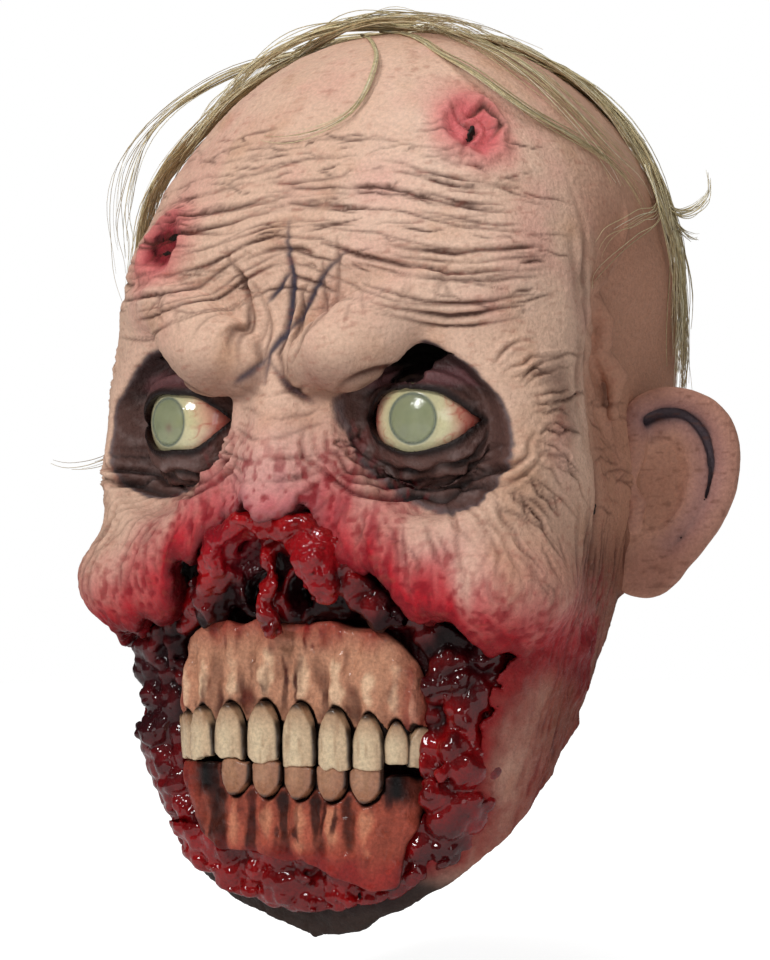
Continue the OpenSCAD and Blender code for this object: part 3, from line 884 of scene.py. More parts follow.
def arch(x, y):
    """Distance out from the front face of the gums, seen from above."""
    n = ARCH_CORNER
    v = y + ARCH_REACH - ARCH_DEPTH
    f = (np.abs(x / ARCH_W) ** n + np.abs(np.minimum(v, 0) / ARCH_DEPTH) ** n) ** (1 / n)
    return (f - 1) * np.hypot(x, v) / np.maximum(f, 0.1)


def arch_y(x):
    """Where the front of the arch is, at this x."""
    n = ARCH_CORNER
    return ARCH_DEPTH - ARCH_REACH - ARCH_DEPTH * (1 - min(abs(x) / ARCH_W, 0.999) ** n) ** (1 / n)


def arch_facing(x):
    """Angle of the arch's outward normal from -Y, in radians, at this x."""
    a, b = np.array([x - 0.2, arch_y(x - 0.2)]), np.array([x + 0.2, arch_y(x + 0.2)])
    t = b - a
    return math.atan2(t[1], t[0])


def teeth_of(prefix, count):
    """Place and size of every tooth, from its node's box."""
    found = []
    for n in range(1, count + 1):
        node = f"{prefix}_tooth_{n}"
        low, high = (np.array(c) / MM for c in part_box(node))
        x = (low[0] + high[0]) / 2
        facing = arch_facing(max(-45.5, min(45.5, x)))
        wide = 1.06 * (high[0] - low[0]) / max(math.cos(facing), 0.45)
        set_back = 2.6 * smoothstep(34, 43, abs(x))
        found.append({"node": node, "x": x * (1 - 0.016 * set_back), "y": (low[1] + high[1]) / 2 + set_back,
                      "facing": facing, "wide": min(wide, 12.0), "up": prefix == "upper",
                      "low": low[2] - (1.5 + 0.7 * math.sin(5 * x) if prefix == "upper" else 0),
                      "high": high[2] + (1.6 if prefix == "upper" else 1.2)})
    return found


TEETH = teeth_of("upper", 10) + teeth_of("lower", 5)


def root_and_edge(tooth):
    """Heights of the gum end and the biting end of a tooth."""
    return (tooth["high"], tooth["low"]) if tooth["up"] else (tooth["low"], tooth["high"])


def tooth_shape(t, n, z, tooth):
    """A tooth in its own frame: t across, n out, z up. Roots arch into the gum, and the edges are chipped."""
    sign = 1 if tooth["up"] else -1
    root, edge = root_and_edge(tooth)
    tall = abs(root - edge)
    along = np.clip((z - root) / (edge - root), 0, 1)
    seed = int(tooth["x"] * 10) % 97 + 300
    a = tooth["wide"] * 0.49 * (0.8 + 0.22 * smoothstep(0, 0.62, along) - 0.05 * smoothstep(0.8, 1, along))
    b = 2.9 - 0.9 * along
    f = (np.abs(t / a) ** 2.7 + np.abs(n / b) ** 2.7) ** (1 / 2.7)
    body = (f - 1) * np.minimum(a, b)
    arched = (root - z) * sign - 0.36 * tall * np.abs(t / a) ** 2.0
    chips = 0.9 * noise(t, 0 * t, 0 * t, 2.6, seed) + 0.06 * t * (1 if seed % 2 else -1)
    cut = (z - edge) * sign - 0.4 - chips - 0.5 * np.abs(t / a) ** 3
    d = smooth_max(body, -arched, 1.4)
    d = smooth_max(d, -cut, 0.8)
    return d - 0.12 * noise(t, n, z, 2.2, seed + 1) - 0.08 * noise(t, n, z * 0.25, 1.1, seed + 2)


def build_teeth():
    for tooth in TEETH:
        half = tooth["wide"] * 0.6 + 1
        low, high = (-half, -4.2, tooth["low"] - 1.5), (half, 4.2, tooth["high"] + 1.5)
        local, quads = grown(lambda t, n, z: tooth_shape(t, n, z, tooth), low, high, 0.42, (6.0, 2.5))
        t, n, z = local.T
        root, edge = root_and_edge(tooth)
        along = np.clip((z - root) / (edge - root), 0, 1)
        seed = int(tooth["x"] * 10) % 97
        tone = plain((202, 172, 138) if tooth["up"] else (160, 110, 84), len(t))
        # Painted highlight: a paler band down the middle of each crown.
        pale = (222, 200, 164) if tooth["up"] else (184, 138, 108)
        tone = mix(tone, pale, bump(t + 1, tooth["wide"] * 0.28) * smoothstep(0.1, 0.6, along) * 0.7)
        tone = mix(tone, (150, 96, 62), smoothstep(0.5, 0.0, along) * 0.55)
        streak = smoothstep(0.1, 0.8, noise(t, n, z * 0.2, 1.2, seed)) * 0.4
        tone = mix(tone, (142, 98, 66), streak)
        half = 0.49 * tooth["wide"] * (0.8 + 0.22 * smoothstep(0, 0.62, along))
        # Painted shade: near black at the crown's rounded sides and at its root, where it meets its neighbours and
        # the gum.
        rim = smoothstep(0.80, 0.96, np.abs(t) / half) + smoothstep(0.14, 0.02, along)
        tone = mix(tone, (34, 20, 16), np.clip(rim, 0, 1) * 0.93)
        c, s = math.cos(tooth["facing"]), math.sin(tooth["facing"])
        n = n - (0.4 if tooth["up"] else 1.6)
        world = np.stack([tooth["x"] + t * c + n * s, tooth["y"] + t * s - n * c, z], 1)
        obj = make_mesh(tooth["node"] + "_crown", world, quads[:, ::-1])
        finish_piece(obj, tooth["node"], "tooth_enamel", tone, np.full(len(t), 0.55))


def tooth_nearness(x, z, upper):
    """Nearness to any tooth's outline (0 on it), and the height of the root ridges above or below the teeth."""
    near, ridge = np.full(np.shape(x), 9.0), np.zeros(np.shape(x))
    for tooth in (each for each in TEETH if each["up"] == upper):
        root, edge = root_and_edge(tooth)
        squeeze = max(math.cos(tooth["facing"]), 0.5)
        a = tooth["wide"] * 0.47 * squeeze
        t = (x - tooth["x"]) / a
        beyond = (z - root) * (1 if upper else -1)
        crown = beyond + 0.36 * abs(root - edge) * np.minimum(np.abs(t), 1) ** 2.0
        near = np.minimum(near, np.maximum(crown, (np.abs(t) - 1) * a))
        ridge = ridge + bump(t, 0.62) * smoothstep(-4, 5, beyond) * smoothstep(27, 5, beyond)
    return near, ridge


def gum_field(upper):
    """The bare jaw: a plate along the arch, ridged over the roots and sunk round each tooth."""
    def field(x, y, z):
        near, ridge = tooth_nearness(x, z, upper)
        d = arch(x, y)
        bent = x + 1.6 * noise(x, y, z, 9, 229)
        ridge = ridge * (0.75 + 0.5 * noise(bent, y, z, 8, 219))
        rough = 1.3 * fractal(bent, y, z * 0.45, 5, 220) + 0.7 * noise(x, y, z, 2.2, 221)
        front = d - 0.8 - 2.3 * ridge - rough + 2.6 * smoothstep(1.2, -0.4, near)
        back = -d - 5.5
        if upper:
            top = z - 50 + 0.0035 * x * x - 1.5 * noise(x, y, z, 8, 222)
            low = 7.4 + 0.0022 * x * x - z
        else:
            top = z - 4.0 + 2.0 * noise(x, y, z, 7, 223)
            low = -23.5 - 8 * smoothstep(4, 30, x) + 0.004 * np.minimum(x, 0) ** 2 - z + 1.5 * noise(x, y, z, 6, 218)
        tight = np.where(x > 0, 0.25, 0.6)
        half = 47 - 0.012 * np.maximum(z - 18, 0) ** 2 if upper else 45 + tight * np.minimum(z + 1, 0)
        d = smooth_max(np.maximum(front, back), np.maximum(top, low), 1.2)
        return smooth_max(smooth_max(d, np.abs(x) - half - 1.2 * noise(x, y, z, 6, 227), 7.0), y + 40, 1.0)
    return field


def build_gums():
    for upper, name, node in ((True, "upper_jaw_gum", "upper_gum"), (False, "lower_jaw_gum", "lower_gum")):
        low, high = ((-50, -86, 4), (50, -38, 53)) if upper else ((-50, -86, -40), (50, -38, 5))
        obj = sculpt(name, gum_field(upper), low, high, 0.62)
        x, y, z = mesh_points(obj).T
        near, ridge = tooth_nearness(x, z, upper)
        tone = plain((198, 142, 112) if upper else (172, 86, 66), len(x))
        # Painted highlight: paler on the raised root ridges.
        pale = (240, 204, 168) if upper else (212, 144, 110)
        tone = mix(tone, pale, smoothstep(0.4, 1.0, ridge + 0.5 * fractal(x, y, z, 4, 228)) * 0.7)
        scratch = smoothstep(0.2, 0.5, noise(x + 1.5 * noise(x, y, z, 8, 215), y, z * 0.16, 2.4, 216))
        tone = mix(tone, (64, 24, 18), scratch * smoothstep(-0.4, 0.4, fractal(x, y, z, 9, 214)) * 0.95)
        # Painted shade: darker, in patches, in the grooves between the root ridges, and near black along their
        # bottoms.
        hollows = smoothstep(0.5, 0.1, ridge + 0.22 * noise(x, y, z * 0.5, 5, 217)) * smoothstep(0.4, 3, near)
        ends = smoothstep(24, 32, np.abs(x))
        hollows = hollows * (1 - 0.6 * ends)
        patchy = smoothstep(-0.35, 0.3, fractal(x, y, z * 0.7, 9, 213))
        tone = mix(tone, (78, 32, 22), hollows * patchy * 0.95 * smoothstep(48, 24, z))
        crack = smoothstep(0.16, 0.05, ridge + 0.15 * noise(x, y, z * 0.4, 4, 212))
        crack = crack * smoothstep(0.8, 3, near) * (1 - ends)
        tone = mix(tone, (26, 10, 8), crack * (0.35 if upper else 0.85) * smoothstep(30, 14, z))
        pits = smoothstep(0.1, 0.6, fractal(x, y, z * 0.4, 4.6, 224))
        tone = mix(tone, (80, 32, 22), pits * 0.75)
        tone = mix(tone, (160, 60, 48), smoothstep(0.1, 0.8, fractal(x, y, z, 12, 225)) * 0.3)
        uneven = noise(x, y, z, 6, 226)
        if upper:
            red = smoothstep(38, 50, z + 2.5 * uneven) + smoothstep(34, 47, np.abs(x)) * 0.9
        else:
            red = smoothstep(-16, -28, z + 3 * uneven) + smoothstep(26, 44, np.abs(x)) * np.where(x > 0, 0.25, 0.8)
        tone = mix(tone, (150, 34, 32), np.clip(red, 0, 1) * 0.8)
        # Painted shade: near black in the sunk rim round each tooth.
        tone = mix(tone, (18, 9, 9), smoothstep(1.6, 0.7, near) * 0.97)
        # Painted shade: near black where two teeth are missing, for the dark holes there.
        gap = bump(x + 29.5, 5.5) + bump(x - 38, 5.5)
        tone = mix(tone, (14, 8, 8), np.clip(gap, 0, 1) * smoothstep(-8, -2, z) * smoothstep(15, 9, z))
        # Painted shade: near black on the back of the gum, inside the mouth.
        tone = mix(tone, (20, 8, 8), smoothstep(-1.2, -3, arch(x, y)))
        finish_piece(obj, node, "bare_gum", tone, 0.5 + 0.4 * np.clip(red, 0, 1))


def cheek_flesh(side):
    """Knotted flesh inside the tear beside one jaw, with a shelf that spills over its edge low down."""
    def field(x, y, z):
        base = skull(x, y, z)
        edge = outline_distance(x, z, TEAR) + 1.5 * fractal(x, y, z, 9, 230)
        knots = lumps(x, y * 0.7, z, 8.5, 231)
        small = lumps(x, y, z, 3.6, 234)
        border = bump(edge + 5.0, 5.0)
        low = smoothstep(30, 10, z)
        pits = smoothstep(0.3, -0.5, fractal(x, y, z, 15, 233))
        thick = 0.2 + 6.4 * knots + 2.6 * small + (3.8 * border - 0.8) * low - 4.0 * pits
        thick = thick - 2.5 * bump(z - 42, 9) * smoothstep(64, 50, x * side)
        shelf = smoothstep(22, 6, z) * (1 + 0.25 * (side > 0))
        thick = thick + 3.0 * shelf * (0.4 + knots)
        d = np.maximum(base + 8.0 - thick, -base - 11.0)
        d = smooth_max(d, edge + 0.6 - 4.5 * shelf * knots, 2.0)
        inner = 22 + 1.5 * noise(x, y, z, 6, 232) + 22 * smoothstep(54, 40, z) - 12 * smoothstep(0, -26, z)
        d = smooth_max(d, inner - x * side, 2.0)
        d = smooth_max(d, rim_height(x, y) + 3 - z, 2.0)
        return smooth_max(np.maximum(d, y + 8), -29 - z, 2.0)
    return field


def chin_flesh(x, y, z):
    """The roll of flesh under the lower gum."""
    base = skull(x, y, z)
    edge = outline_distance(x, z, TEAR) + 1.2 * fractal(x, y, z, 8, 236)
    knots = lumps(x, y, z, 7.0, 237)
    small = lumps(x, y, z, 3.2, 238)
    thick = 5.0 + 6.0 * knots + 2.2 * small + 2.6 * smoothstep(24, 6, x)
    d = np.maximum(base + 8.5 - thick, -base - 11.0)
    d = smooth_max(d, edge - 2.0 - 2.0 * knots, 1.6)
    inner = z + 21.5 + 2.2 * fractal(x, y, z, 9, 239) - 0.004 * x * x + 10 * smoothstep(8, 26, x)
    d = smooth_max(d, rim_height(x, y) + 0.5 - z, 1.5)
    return smooth_max(smooth_max(d, inner, 1.6), np.abs(x) - 50, 1.5)


def nose_flesh(x, y, z):
    """The crater of the nose: a ragged rim, a hollow, a torn septum, two holes and a hanging lobe."""
    lobe = tube(x, y, z, [(11, -88, 75), (17, -90, 69), (20.5, -88, 61)], [3.6, 5.6, 4.6])
    lobe = lobe - 2.2 * (lumps(x, y, z, 4.2, 246) - 0.4) - 0.8 * (lumps(x, y, z, 2.0, 247) - 0.4)
    x, z = x + 2.0 * noise(x, y, z, 7, 244), z + 2.0 * noise(x, y, z, 7, 245)
    d = ellipsoid(x, y, z, (2, -73, 65), (29, 13, 18))
    rim = tube(x, y, z, [(-27, -78, 48), (-24, -83, 60), (-20, -87, 70), (-8, -90, 79), (6, -89, 80), (19, -85, 72),
                         (27, -82, 62), (36, -79, 52)], [5.0, 4.6, 4.8, 4.2, 4.0, 4.2, 4.0, 4.0])
    d = smooth_min(d, rim, 2.0)
    d = smooth_max(d, -ellipsoid(x, y, z, (-5, -91, 66), (13, 12, 11)), 2.5)
    septum = tube(x, y, z, [(-2, -82, 74), (-1, -87, 64), (-1.5, -88, 56), (0, -86, 47)], [3.0, 1.9, 1.7, 2.8])
    d = smooth_min(d, septum, 1.4)
    for side in (-1, 1):
        hole = np.hypot(x - side * NOSTRIL_X, (z - NOSTRIL_Z) * 0.8) - 5.6
        d = smooth_max(d, -np.maximum(hole, y + 60), 1.5)
    d = d - 2.6 * (lumps(x, y, z, 5.5, 241) - 0.5) - 1.3 * (lumps(x, y, z, 2.6, 242) - 0.5)
    d = smooth_min(d, lobe, 0.8)
    return smooth_max(np.maximum(d, y + 70), 46 - z - 2 * noise(x, y, z, 5, 243), 1.5)


def build_flesh():
    flesh_piece("cheek_flesh_left", "left_cheek_flesh", cheek_flesh(1), (8, -92, -32), (86, -6, 64), 0.75)
    flesh_piece("cheek_flesh_right", "right_cheek_flesh", cheek_flesh(-1), (-88, -92, -32), (-8, -6, 64), 0.75)
    flesh_piece("chin_flesh_lumps", "chin_flesh", chin_flesh, (-52, -84, -46), (52, -20, -16), 0.7)
    flesh_piece("nose_flesh_lumps", "nose_flesh", nose_flesh, (-34, -98, 42), (42, -66, 88), 0.6)


def build_eyes():
    for side, word in ((1, "left"), (-1, "right")):
        centre = EYE[side]
        turn = math.radians(6 if side > 0 else -14)
        gaze = np.array([math.sin(turn), -math.cos(turn), 0.0])

        def seen_from_eye(x, y, z):
            """Distance from the middle of the eye, and degrees away from its gaze."""
            dx, dy = x - centre[0], y - centre[1]
            r = eye_offset(x, y, z, side)
            return r, np.degrees(np.arccos(np.clip((dx * gaze[0] + dy * gaze[1]) / np.maximum(r, 1e-6), -1, 1)))

        def white(x, y, z):
            r, off = seen_from_eye(x, y, z)
            dome = -0.35 * smoothstep(26, 22, off) + 0.3 * bump(off - 26, 2.5)
            return np.maximum(r - EYE_R - dome, y - centre[1] - 1.0)
        ball = sculpt(word + "_eyeball", white, centre - 19.5, centre + (19.5, 3, 19.5), 0.5)
        x, y, z = mesh_points(ball).T
        dx, dz = x - centre[0], z - centre[2]
        off = seen_from_eye(x, y, z)[1]
        tone = plain((222, 214, 170), len(x))
        tone = mix(tone, (206, 200, 140), smoothstep(-0.2, 0.8, fractal(x, y, z, 9, 250)) * 0.5)
        sore = smoothstep(30, 56, off + 7 * fractal(x, y, z, 6, 251))
        tone = mix(tone, (232, 156, 138), sore * 0.8)
        tone = mix(tone, (170, 50, 48), smoothstep(42, 64, off + 5 * noise(x, y, z, 3, 252)) * 0.7)
        thread = smoothstep(0.86, 1.0, 1 - np.abs(noise(x, y * 2, z * 2.2, 5, 253)))
        tone = mix(tone, (190, 74, 62), thread * smoothstep(27, 45, off) * 0.6)
        iris = smoothstep(26.0, 24.2, off)
        cloud = fractal(x, y, z, 5, 254)
        tone = mix(tone, (130, 138, 96), iris)
        tone = mix(tone, (158, 162, 116), iris * smoothstep(-0.1, 0.7, cloud) * 0.6)
        tone = mix(tone, (104, 112, 80), iris * smoothstep(0.0, -0.8, cloud) * 0.7)
        tone = mix(tone, (78, 92, 90), bump(off - 24.6, 1.5) * 0.9)
        # Painted shade: the ball goes near black above and below the lid opening, where it lies under the lids and
        # shows through the view slit.
        tone = mix(tone, (20, 12, 14), smoothstep(9.6, 11.0, dz) + smoothstep(-11.5, -13, dz))
        if side < 0:
            fleck = bump(np.hypot(dx - gaze[0] * EYE_R - 1.5, dz + 2.0), 1.5)
            tone = mix(tone, (110, 30, 26), fleck * 0.8)
        finish_piece(ball, word + "_eye", "eye_white", tone, np.full(len(x), 0.9))

        def cornea(x, y, z):
            r, off = seen_from_eye(x, y, z)
            rise = 0.75 * smoothstep(27, 8, off)
            return np.maximum(np.maximum(r - EYE_R - 0.25 - rise, EYE_R - 0.05 - r), (off - 26.5) * 0.3)
        front = centre + gaze * EYE_R
        lens = sculpt(word + "_cloudy_cornea", cornea, front - (9.5, 5, 9.5), front + (9.5, 6, 9.5), 0.34)
        finish_piece(lens, word + "_cornea", "clouded_iris")


# ---------------------------------------------------------------- ears

def rounded(points, rounds=2, closed=True):
    """Cuts the corners off an outline, several times over."""
    p = np.array(points, float)
    for _ in range(rounds):
        q = np.roll(p, -1, 0) if closed else p[1:]
        a = p if closed else p[:-1]
        cut = np.stack([0.75 * a + 0.25 * q, 0.25 * a + 0.75 * q], 1).reshape(-1, p.shape[1])
        p = cut if closed else np.concatenate([p[:1], cut, p[-1:]])
    return p


EAR_ROOT = (75.5, 12, 89)
EAR_SWEEP = math.radians(34)
EAR_EDGE = rounded([(-3, -18), (-2, 12), (0, 24), (5, 30.5), (12, 33), (20, 31), (27, 25), (30.5, 15), (30, 3),
                    (26.5, -9), (20, -19), (13, -28), (7, -33), (0, -34), (-4, -29)])
HELIX = rounded([(0, 3), (3, 13), (2, 25), (7, 29.5), (13, 30.5), (20, 28.5), (25.5, 23), (28, 14), (27.5, 3),
                 (24, -8), (18, -18), (12, -25)], closed=False)
GROOVE = rounded([(5, 23), (10, 25.5), (16, 25.5), (21, 20), (23.5, 12), (23, 2), (20, -8), (13, -18)], closed=False)


def ear_shape(p, q, n):
    """An ear in its own frame: p out from the head, q up, n towards the front."""
    edge = outline_distance(p, q, EAR_EDGE)
    dish = -3.2 * bump(np.hypot(p - 9, (q - 2) * 0.8), 10) + 0.05 * p
    trough = tube(p, n, q, [(a, 1.6, b) for a, b in GROOVE], np.linspace(1.7, 0.6, len(GROOVE)))
    plate = np.maximum(np.abs(n - dish) - 1.7, edge + 1.5)
    thick = 3.6 - 1.1 * np.exp(-np.arange(len(HELIX)) / 8.0)
    rim = tube(p, n, q, [(a, 1.6, b) for a, b in HELIX], thick)
    d = smooth_min(plate, rim, 2.0)
    anti = tube(p, n, q, [(10, 0.4, 20), (17, 0.6, 16), (20, 0.8, 6), (18, 0.8, -5), (12, 0.6, -14), (7, 0.4, -15)],
                [2.0, 2.8, 3.0, 3.0, 2.8, 2.4])
    d = smooth_min(d, anti, 2.4)
    fork = tube(p, n, q, [(17, 0.2, 15), (17, 0.0, 23)], [2.2, 1.4])
    d = smooth_min(d, fork, 2.0)
    d = smooth_max(d, -trough, 1.0)
    d = smooth_min(d, tube(p, n, q, [(0, 1, 2), (3, 3.6, -4), (2, 1.5, -11)], [2.6, 2.6, 2.6]), 2.5)
    d = smooth_min(d, ellipsoid(p, n, q, (6, 0.6, -25), (9, 3.8, 9.5)), 3.5)
    return smooth_max(d, -4.5 - p, 1.5) + 0.25 * fractal(p, q, n, 6, 260)


def build_ears():
    for side, word in ((1, "left"), (-1, "right")):
        local, quads = grown(ear_shape, (-6, -38, -8), (34, 36, 9), 0.62)
        p, q, n = local.T
        path = tube(p, n, q, [(a, 0.4, b) for a, b in GROOVE], np.linspace(1.6, 0.0, len(GROOVE)))
        groove = smoothstep(3.4, 0.4, path + 0.6 * noise(p, q, n, 4, 261)) * (n > -2)
        bowl = bump(np.hypot(p - 9, (q - 1) * 0.7), 12) * (n > -4) * (n < 2.6)
        tone = plain((206, 154, 130), len(p))
        tone = mix(tone, (166, 116, 100), smoothstep(1.5, 4.5, n) * 0.7)
        # Painted shade in the bowl of the ear.
        tone = mix(tone, (164, 112, 90), bowl * 0.7)
        tone = mix(tone, (136, 100, 106), smoothstep(8, 2, path) * (n > -2) * 0.5)
        tone = mix(tone, (150, 96, 78), smoothstep(-6, -30, q) * 0.5)
        tone = mix(tone, (150, 104, 84), smoothstep(0.0, 0.8, fractal(p, q, n, 8, 262)) * 0.5)
        # Dark blue-grey paint in the groove, which also stands in for its shade.
        tone = mix(tone, (62, 58, 68), groove * 0.9)
        tone = mix(tone, (110, 66, 52), smoothstep(0.3, 0.8, noise(p, q * 2.5, n, 2.4, 263)) * 0.45)
        c, s = math.cos(EAR_SWEEP), math.sin(EAR_SWEEP)
        p = p * 1.2 - 3.5
        world = np.stack([side * (EAR_ROOT[0] + p * c + n * s), EAR_ROOT[1] + p * s - n * c, EAR_ROOT[2] + q], 1)
        obj = make_mesh(word + "_ear_latex", world, quads if side > 0 else quads[:, ::-1])
        finish_piece(obj, word + "_ear", "latex_ear", tone, 0.04 * groove)


# ---------------------------------------------------------------- hair

def skin_radius(directions):
    """Distance from the middle of the head to its surface along each direction."""
    low, high = np.full(len(directions), 50.0), np.full(len(directions), 190.0)
    for _ in range(18):
        r = (low + high) / 2
        outside = face(*(MIDDLE + directions * r[:, None]).T) > 0
        high, low = np.where(outside, r, high), np.where(outside, low, r)
    return (low + high) / 2


def smooth_path(points, per_span):
    """Catmull-Rom curve through many strands' control points at once, as (strand, point, 3)."""
    p = np.concatenate([2 * points[:, :1] - points[:, 1:2], points, 2 * points[:, -1:] - points[:, -2:-1]], 1)
    out = []
    for k in range(points.shape[1] - 1):
        a, b, c, d = p[:, k], p[:, k + 1], p[:, k + 2], p[:, k + 3]
        for t in np.arange(per_span) / per_span:
            out.append(0.5 * (2 * b + (c - a) * t + (2 * a - 5 * b + 4 * c - d) * t ** 2
                              + (3 * b - a - 3 * c + d) * t ** 3))
    out.append(points[:, -1])
    return np.stack(out, 1)


def strands(guide, count, spread, thick=0.3, loose=1.0):
    """Hairs along one guide of (x, y, z, lift) points. Lift is the height above the skin."""
    guide = np.array(guide, float)
    controls = np.repeat(guide[None, :, :3], count, 0)
    t = np.linspace(0, 1, len(guide))
    width = spread * (0.35 + 0.65 * t)
    drift = rng.normal(0, 1, (count, 1, 3)) * width[:, None]
    controls = controls + drift + rng.normal(0, 0.28 * spread, controls.shape) * (0.3 + t[:, None])
    keep = rng.uniform(0.55, 1.0, count)
    lifts = guide[:, 3] + np.abs(rng.normal(0, 0.22 * spread * loose, (count, len(guide))))
    out = controls - MIDDLE
    r = np.linalg.norm(out, axis=2, keepdims=True)
    out = out / r
    reach = skin_radius(out.reshape(-1, 3)).reshape(count, -1) + np.maximum(lifts, 0.5)
    controls = MIDDLE + out * reach[..., None]
    path = smooth_path(controls, 7)
    wave = np.linspace(0, 1, path.shape[1])[None, :, None]
    phase = rng.uniform(0, 6.3, (count, 1, 3))
    path = path + 0.55 * loose * wave * np.sin(wave * rng.uniform(9, 22, (count, 1, 3)) + phase)
    ends = (keep * (path.shape[1] - 1)).astype(int) + 1
    out = path - MIDDLE
    r = np.linalg.norm(out, axis=2)
    out = out / r[..., None]
    floor = skin_radius(out.reshape(-1, 3)).reshape(r.shape) + 0.5
    path = MIDDLE + out * np.maximum(r, floor)[..., None]
    return [(path[n, :ends[n]], thick * rng.uniform(0.7, 1.25)) for n in range(count)]


def hair_piece(name, node, hairs):
    """Three-sided tapering hairs in one mesh, each a little paler or darker."""
    points, faces, tint = [], [], []
    base = 0
    for path, thick in hairs:
        if len(path) < 3:
            continue
        along = np.gradient(path, axis=0)
        along /= np.maximum(np.linalg.norm(along, axis=1, keepdims=True), 1e-9)
        side = np.cross(along, [0.31, 0.17, 0.93])
        side /= np.maximum(np.linalg.norm(side, axis=1, keepdims=True), 1e-9)
        up = np.cross(along, side)
        radius = (thick * (1 - 0.72 * np.linspace(0, 1, len(path)) ** 1.6))[:, None]
        ring = [path + radius * (math.cos(a) * side + math.sin(a) * up) for a in (0.0, 2.094, 4.189)]
        points.append(np.stack(ring, 1).reshape(-1, 3))
        k = np.arange(len(path) - 1)[:, None] * 3 + base
        for a in range(3):
            b = (a + 1) % 3
            faces.append(np.concatenate([k + a, k + b, k + 3 + b, k + 3 + a], 1))
        tint.append(np.full(len(path) * 3, rng.uniform(0, 1)))
        base += len(path) * 3
    obj = make_mesh(name, np.concatenate(points), np.concatenate(faces))
    tint = np.concatenate(tint)
    tone = mix(plain((206, 190, 146), len(tint)), (168, 148, 114), smoothstep(0.55, 1, tint))
    tone = mix(tone, (238, 230, 204), smoothstep(0.4, 0, tint))
    finish_piece(obj, node, "synthetic_hair", tone, np.zeros(len(tint)))


KNOT = (73, 42, 190, 1.5)

# Each tuft is its guide, how many hairs, how far they spread, and then their thickness and how loose they are.
HAIR = {
    "crown": [
        ([(-4, 4, 240, 0.8), (4, 12, 240, 1.4), (12, 22, 238, 1), (18, 30, 234, 1)], 60, 6, 0.22),
        ([(6, 2, 240, 1), (-8, 8, 239, 1.6), (-20, 4, 237, 1), (-30, -6, 232, 1)], 50, 6, 0.22),
        ([(0, 10, 240, 1), (10, -6, 239, 2), (26, -14, 233, 1.2)], 24, 5, 0.2),
        ([(-34, -18, 230, 1), (-14, -20, 237, 3.5), (8, -22, 238, 4.5), (30, -18, 231, 4), (52, 0, 216, 3)],
         40, 4.5, 0.26, 1.6),
        ([(4, -8, 239, 1), (-16, -20, 236, 4), (-36, -28, 226, 5), (-54, -34, 211, 4), (-66, -38, 196, 3)],
         36, 4.5, 0.26, 1.6)],
    "left": [
        ([(2, 6, 240, 1), (30, 10, 232, 1.5), (55, 24, 215, 2), KNOT], 90, 4.5),
        ([(0, 16, 240, 1), (34, 34, 228, 2.5), (60, 48, 205, 3), (72, 52, 182, 2)], 50, 6),
        ([KNOT, (79, 42, 170, 2), (80, 44, 150, 3), (79, 44, 128, 2.5)], 55, 4.0),
        ([KNOT, (76, 52, 165, 2), (74, 56, 140, 3), (74, 52, 122, 2)], 40, 4.5),
        ([KNOT, (80, 20, 180, 2), (80, 0, 172, 2), (77, -22, 160, 1.2), (77, -28, 150, 0.8)], 8, 2.0, 0.2),
        ([(66, 40, 198, 2), (80, 47, 194, 4), (86, 50, 192, 11), (90, 54, 197, 20), (88, 53, 203, 23)],
         14, 1.3, 0.22, 0.5),
        ([(70, 40, 194, 2), (80, 46, 186, 4), (86, 50, 182, 9), (88, 52, 181, 13)], 8, 1.4, 0.22, 0.5),
        ([(70, 30, 195, 2), (80, 24, 178, 3), (82, 30, 160, 3), (82, 40, 140, 2)], 16, 4.0, 0.2)],
    "right": [
        ([(0, 4, 240, 1), (-34, -8, 231, 3), (-60, -20, 208, 6), (-74, -34, 182, 8), (-80, -36, 154, 5),
          (-84, -36, 126, 4)], 85, 4.5),
        ([(0, 8, 240, 1), (-38, 4, 228, 3), (-62, -2, 206, 6), (-76, -10, 180, 6), (-80, -10, 150, 4),
          (-82, -8, 118, 3)], 60, 7.0),
        ([(-20, -6, 236, 2), (-54, -22, 216, 12), (-72, -34, 196, 20), (-82, -42, 178, 15), (-80, -40, 160, 9),
          (-84, -42, 140, 9)], 9, 2.6, 0.2, 1.2),
        ([(-30, -6, 232, 4), (-58, -22, 214, 16), (-80, -38, 190, 24), (-86, -44, 168, 14), (-84, -42, 150, 6)],
         5, 2.4, 0.2, 1.2),
        ([(-80, -36, 132, 3), (-84, -42, 112, 3), (-84, -50, 100, 4), (-88, -62, 96, 14), (-92, -72, 99, 26)],
         6, 1.2, 0.22, 0.5)],
    "forehead": [
        ([(-12, -14, 238, 1.5), (13, -45, 216, 2), (14, -62, 200, 2), (-4, -66, 192, 1.5), (-25, -60, 193, 1)],
         6, 0.8, 0.26, 0.6),
        ([(-5, -12, 238, 1.5), (37, -38, 217, 2.5), (58, -34, 202, 2.5), (72, -5, 187, 2.5), (78, 15, 172, 2)],
         22, 1.3, 0.3, 0.6),
        ([(20, -4, 236, 1), (50, -14, 215, 2), (70, 4, 192, 2), (74, 30, 188, 2)], 14, 4.5, 0.2),
        ([(12, -8, 238, 1), (44, -22, 217, 2), (64, -14, 198, 2), (76, 4, 180, 1)], 9, 3.5, 0.2),
        ([(-20, -12, 235, 2), (-44, -36, 214, 2.5), (-62, -44, 188, 2)], 7, 3.5, 0.2)],
    "back": [
        ([(4 * s, 10 + 6 * c, 240, 1), (44 * s, 20 + 40 * c, 222, 2), (70 * s, 10 + 66 * c, 186, 2.5),
          (80 * s, 8 + 80 * c, 150, 3), (80 * s, 6 + 80 * c, 112, 3)], 34, 7.5)
        for s, c in ((math.sin(a), math.cos(a)) for a in np.radians(np.linspace(-66, 66, 9)))],
}


